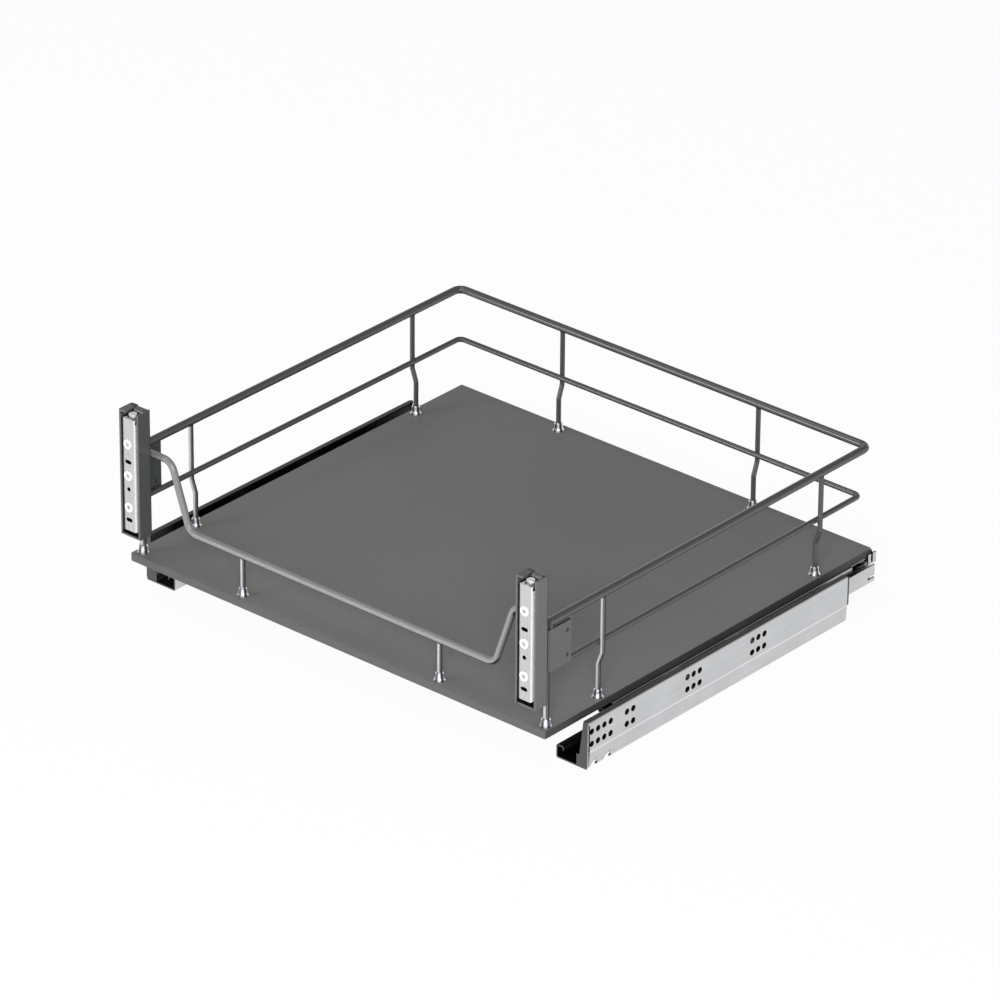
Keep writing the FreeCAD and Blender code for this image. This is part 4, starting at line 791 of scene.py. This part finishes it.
CROSS_LOW, CROSS_HIGH = drawn("rear_right_post")
TOP_LOW, TOP_HIGH = drawn("top_rail")
POST_RADIUS = (CROSS_HIGH[X] - CROSS_LOW[X]) / 2
TOP_RADIUS, FRONT_RADIUS = (TOP_HIGH[Z] - TOP_LOW[Z]) / 2, 3.5
TOP_LEG, FRONT_LEG = 0.9, 0.8
POST_X, CROSS_X = drawn("right_front_post")[1][X] - POST_RADIUS, middle_of("rear_right_post")[X]
SIDE_Y = (middle_of("right_front_post")[Y], middle_of("right_rear_post")[Y])
REAR_Y, FRONT_Y = CROSS_HIGH[Y] - POST_RADIUS, middle_of("front_right_post")[Y]
TOP_Z, FRONT_Z = middle_of("top_rail")[Z], drawn("front_rail")[0][Z] + FRONT_RADIUS
fillets = []
for side in (-1, 1):
    for foot, radius, along, leg in (
            ((side * POST_X, SIDE_Y[0], TOP_Z), TOP_RADIUS, Y, TOP_LEG),
            ((side * POST_X, SIDE_Y[1], TOP_Z), TOP_RADIUS, Y, TOP_LEG),
            ((side * CROSS_X, REAR_Y, TOP_Z), TOP_RADIUS, X, TOP_LEG),
            ((side * CROSS_X, FRONT_Y, FRONT_Z), FRONT_RADIUS, X, FRONT_LEG)):
        fillets.append(tee_fillet(foot, POST_RADIUS, radius, along, leg))
surface_piece("weld_fillets", fillets, powder, "drawer")

# %% [markdown]
# ## Crossing welds
# The lower rail runs past the inside of the posts and is pressed and welded there. The wires sink
# into each other a little, and a flat cushion of metal squeezes out around the contact.
# An ellipsoid, flat across the contact, is that cushion.


# %% Crossing welds
def cushion(centre, sizes, power=0.9):
    """A rounded lump of metal.

    Formula: centre + sizes * (cos a cos b, cos a sin b, sin a), each raised to a power near 1.
    """
    a = np.linspace(-np.pi / 2, np.pi / 2, 15)[:, None]
    b = AROUND[None, ::2]
    shape = np.stack([np.cos(a) * np.cos(b), np.cos(a) * np.sin(b), np.sin(a) + 0.0 * b], -1)
    shape = np.sign(shape) * np.abs(shape) ** power
    return place(np.asarray(centre) + shape * np.asarray(sizes))


LOWER_HIGH, CONTACT_DEPTH = drawn("lower_rail")[1], 0.1
CONTACT_X, CONTACT_Y = LOWER_HIGH[X] - CONTACT_DEPTH, LOWER_HIGH[Y] - CONTACT_DEPTH
LOWER_Z = middle_of("lower_rail")[Z]
CUSHION_DEPTH, CUSHION_LENGTH, CUSHION_HEIGHT = 1.0, 2.4, 2.3
crossings = []
for side in (-1, 1):
    for y in SIDE_Y:
        crossings.append(cushion((side * CONTACT_X, y, LOWER_Z),
                                 (CUSHION_DEPTH, CUSHION_LENGTH, CUSHION_HEIGHT)))
    crossings.append(cushion((side * CROSS_X, CONTACT_Y, LOWER_Z),
                             (CUSHION_LENGTH, CUSHION_DEPTH, CUSHION_HEIGHT)))
surface_piece("crossing_welds", crossings, powder, "drawer")

# %% [markdown]
# ## Threads of the height screws
# The height screws have a real M4 thread with a pitch of 0.7 mm. A thread is a cylinder whose
# radius depends on height minus turning angle, so one grid over angle and height gives it.


# %% Threads
THREAD_STEPS, THREAD_SIDES = 6.0, 24


def thread(x, y, low, high, root, crest, pitch):
    """Threaded shank.

    Formula: radius = root + (crest - root) * triangle(z / pitch - angle / turn).
    """
    z = np.arange(low, high + 1e-6, pitch / THREAD_STEPS)
    z = np.concatenate([z[:1], z, z[-1:]])[:, None]
    u = np.linspace(0.0, 2.0 * np.pi, THREAD_SIDES, endpoint=False)[None, :]
    phase = (z / pitch - u / (2.0 * np.pi)) % 1.0
    r = root + (crest - root) * (1.0 - np.abs(2.0 * phase - 1.0))
    r[0, :] = r[-1, :] = 0.0
    r[1, :] = r[-2, :] = root
    return place(np.stack([x + r * np.cos(u), y + r * np.sin(u), z + 0.0 * u], -1))


ROOT_RADIUS, CREST_RADIUS, PITCH = 1.98, 2.16, 0.7
ABOVE_TIP, BELOW_HEAD = 0.3, 5.0
for word in ("left", "right"):
    screw_low, screw_high = drawn(word + "_height_screw")
    x, y, _ = middle_of(word + "_height_screw")
    shank = thread(x, y, screw_low[Z] + ABOVE_TIP, screw_high[Z] - BELOW_HEAD,
                   ROOT_RADIUS, CREST_RADIUS, PITCH)
    surface_piece(word + "_height_thread", [shank], screw_zinc, word + "_adjuster")

# %% [markdown]
# ## Rear end tabs and the shade pad
# The rear end of each drawer profile is closed by small tabs, so that nothing falls into the
# channel. They leave a slot in which the middle profile of the slide can pass, with a ledge
# below it. The left-hand slide also has a flat black pad on its floor near the front, a dark sheet
# put there as painted shade. All of them are plates with rounded corners: a closed outline,
# carried through the thickness, with its two ends drawn together to a middle point.


# %% Rounded plates
def rounded_plate(low, high, corner, through):
    """A plate between two corner points, in millimetres, rounded round its edge.

    Formula: the outline is a rectangle's sides moved out by corner * (cos u, sin u). It is
    repeated at both faces, and a copy shrunk to the middle of each face closes it.
    """
    low, high = np.asarray(low, float), np.asarray(high, float)
    flat = [axis for axis in range(3) if axis != through]
    c, s = np.cos(AROUND), np.sin(AROUND)
    half, middle = (high - low) / 2, (high + low) / 2
    wide = np.sign(np.round(c, 9)) * (half[flat[0]] - corner) + corner * c
    tall = np.sign(np.round(s, 9)) * (half[flat[1]] - corner) + corner * s
    bottom, top = low[through], high[through]
    rows = []
    for scale, level in ((0.0, bottom), (1.0, bottom), (1.0, top), (0.0, top)):
        ring = np.zeros((len(AROUND), 3))
        ring[:, flat[0]] = middle[flat[0]] + scale * wide
        ring[:, flat[1]] = middle[flat[1]] + scale * tall
        ring[:, through] = level
        rows.append(ring)
    return place(np.stack(rows))


PROFILE_LOW, PROFILE_HIGH = drawn("right_drawer_profile")
INNER_CORNER = np.array([PROFILE_LOW[X], PROFILE_HIGH[Y], PROFILE_HIGH[Z]])
# Corners of the right-hand plates, from the inner, rear and top corner of the drawer profile.
REAR_PLATES = (
    ((7.5, -8.3, -12.5), (16.7, -6.9, -5.8), Y),
    ((7.5, -10.9, -23.6), (12.7, -9.5, -15.7), Y),
    ((15.3, -8.3, -28.3), (16.7, -6.9, -12.3), Y),
    ((4.0, -17.0, -15.8), (12.7, -3.9, -14.6), Z),
)
TAB_CORNER = 0.5
tabs = []
for side in (-1, 1):
    for low, high, through in REAR_PLATES:
        ends = INNER_CORNER + np.array([low, high])
        ends[:, X] = np.sort(side * ends[:, X])
        tabs.append(rounded_plate(ends[0], ends[1], TAB_CORNER, through))
surface_piece("rear_end_tabs", tabs, strip_zinc, "drawer")

# %% Shade pad
# Corners of the pad, from the outer, front and bottom corner of the left cabinet profile.
OUTER_CORNER = drawn("left_cabinet_profile")[0]
PAD_LOW, PAD_HIGH = OUTER_CORNER + np.array([(3.6, 3.0, 1.5), (14.0, 44.0, 2.2)])
PAD_CORNER = 1.5
pad = rounded_plate(PAD_LOW, PAD_HIGH, PAD_CORNER, Z)
surface_piece("left_shade_pad", [pad], black_pom, "cabinet_rails")

# %% [markdown]
# ## The studio
# A product photographer puts such a part on a white sweep with large soft lamps. The floor here
# is white for the camera and for reflections and still takes a soft shadow. The surroundings are
# white up to a little above the horizon and grey overhead, so that sides of metal parts
# read light and their tops read darker.

# %% Floor
FLOOR_REACH, FLOOR_DROP, GLOW_SHARE = 40.0, 0.0002, 0.95
floor_mesh = bpy.data.meshes.new("studio_floor")
corners = np.array([[-1, -1, 0], [1, -1, 0], [1, 1, 0], [-1, 1, 0]]) * FLOOR_REACH
floor_mesh.from_pydata(corners.tolist(), [], [(0, 1, 2, 3)])
floor = bpy.data.objects.new("studio_floor", floor_mesh)
bpy.context.scene.collection.objects.link(floor)
floor.location.z = CAD_LOW.z - FLOOR_DROP
floor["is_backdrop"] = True
sweep = bpy.data.materials.new("Studio_sweep_white")
sweep.use_nodes = True
tree = sweep.node_tree
tree.nodes.clear()
paths = add(tree, "ShaderNodeLightPath")
seen = add(tree, "ShaderNodeMath", {"operation": "MAXIMUM"},
           links={0: paths.outputs["Is Camera Ray"], 1: paths.outputs["Is Glossy Ray"]})
seen = add(tree, "ShaderNodeMath", {"operation": "MAXIMUM"},
           links={0: seen.outputs[0], 1: paths.outputs["Is Transmission Ray"]})
share = add(tree, "ShaderNodeMath", {"operation": "MULTIPLY"}, {1: GLOW_SHARE},
            {0: seen.outputs[0]})
paper = add(tree, "ShaderNodeBsdfDiffuse", values={"Color": linear("#f4f4f4")})
glow = add(tree, "ShaderNodeEmission", values={"Strength": 1.0})
both = add(tree, "ShaderNodeMixShader",
           links={0: share.outputs[0], 1: paper.outputs[0], 2: glow.outputs[0]})
add(tree, "ShaderNodeOutputMaterial", links={"Surface": both.outputs[0]})
finish_with(floor, sweep)
print("floor at", round(floor.location.z, 4))

# %% Surroundings
world = bpy.data.worlds.new("studio")
bpy.context.scene.world = world
world.use_nodes = True
tree = world.node_tree
tree.nodes.clear()
direction = add(tree, "ShaderNodeTexCoord").outputs["Generated"]
height = add(tree, "ShaderNodeSeparateXYZ", links={0: direction}).outputs["Z"]
level = add(tree, "ShaderNodeMapRange",
            values={"From Min": 0.15, "From Max": 0.6, "To Min": 1.0, "To Max": 0.30},
            links={"Value": height})
surround = add(tree, "ShaderNodeBackground", links={"Strength": level.outputs["Result"]})
add(tree, "ShaderNodeOutputWorld", links={"Surface": surround.outputs[0]})
print("surroundings", world.name)


# %% Lamps
def soft_lamp(name, at, aim, width, height_m, watts):
    """A rectangular soft lamp at a point, turned towards another point."""
    data = bpy.data.lights.new(name, "AREA")
    data.shape = "RECTANGLE"
    data.size, data.size_y, data.energy = width, height_m, watts
    lamp = bpy.data.objects.new(name, data)
    bpy.context.scene.collection.objects.link(lamp)
    lamp.location = at
    away = lamp.location - aim
    lamp.rotation_mode = "QUATERNION"
    lamp.rotation_quaternion = away.to_track_quat("Z", "Y")
    return lamp


CENTRE = (CAD_LOW + CAD_HIGH) / 2
soft_lamp("key_front_right", (1.7, -2.1, 1.25), CENTRE, 1.0, 1.0, 60.0)
soft_lamp("fill_front_left", (-1.3, -1.9, 0.7), CENTRE, 0.8, 0.8, 14.0)
soft_lamp("top_soft", (-0.7, -0.5, 2.6), CENTRE, 1.6, 1.6, 18.0)
print("lamps ready")

# %% [markdown]
# ## The camera
# The photograph was taken with a long lens from the front right. The angles and distance were
# solved from the straight edges of the object, so the same lines run through the render.

# %% Camera
AZIMUTH, ELEVATION, ROLL = (math.radians(v) for v in (40.859, 27.669, 0.397))
TARGET = np.array([-0.019294, 0.023359, 0.091416])
DISTANCE, FOCAL_PIXELS, IMAGE_WIDTH, SENSOR = 6.891, 7138.0, 1000.0, 36.0
NEAREST, FARTHEST = 0.1, 200.0
back = np.array([math.sin(AZIMUTH) * math.cos(ELEVATION), -math.cos(AZIMUTH) * math.cos(ELEVATION),
                 math.sin(ELEVATION)])
right = np.array([math.cos(AZIMUTH), math.sin(AZIMUTH), 0.0])
up = np.cross(back, right)
right, up = (math.cos(ROLL) * right + math.sin(ROLL) * up,
             math.cos(ROLL) * up - math.sin(ROLL) * right)
camera_data = bpy.data.cameras.new("camera")
camera_data.sensor_width = SENSOR
camera_data.lens = SENSOR * FOCAL_PIXELS / IMAGE_WIDTH
camera_data.clip_start, camera_data.clip_end = NEAREST, FARTHEST
camera = bpy.data.objects.new("camera", camera_data)
bpy.context.scene.collection.objects.link(camera)
matrix = np.eye(4)
matrix[:3, 0], matrix[:3, 1], matrix[:3, 2] = right, up, back
matrix[:3, 3] = TARGET + back * DISTANCE
camera.matrix_world = [list(row) for row in matrix.T]
bpy.context.scene.camera = camera
bpy.context.scene.view_settings.view_transform = "Standard"
print("lens", round(camera_data.lens, 1), "mm")

# %% [markdown]
# ## The dressed model's box
# The box of the dressed model is measured.

# %% Sizes and finish
low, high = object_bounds()
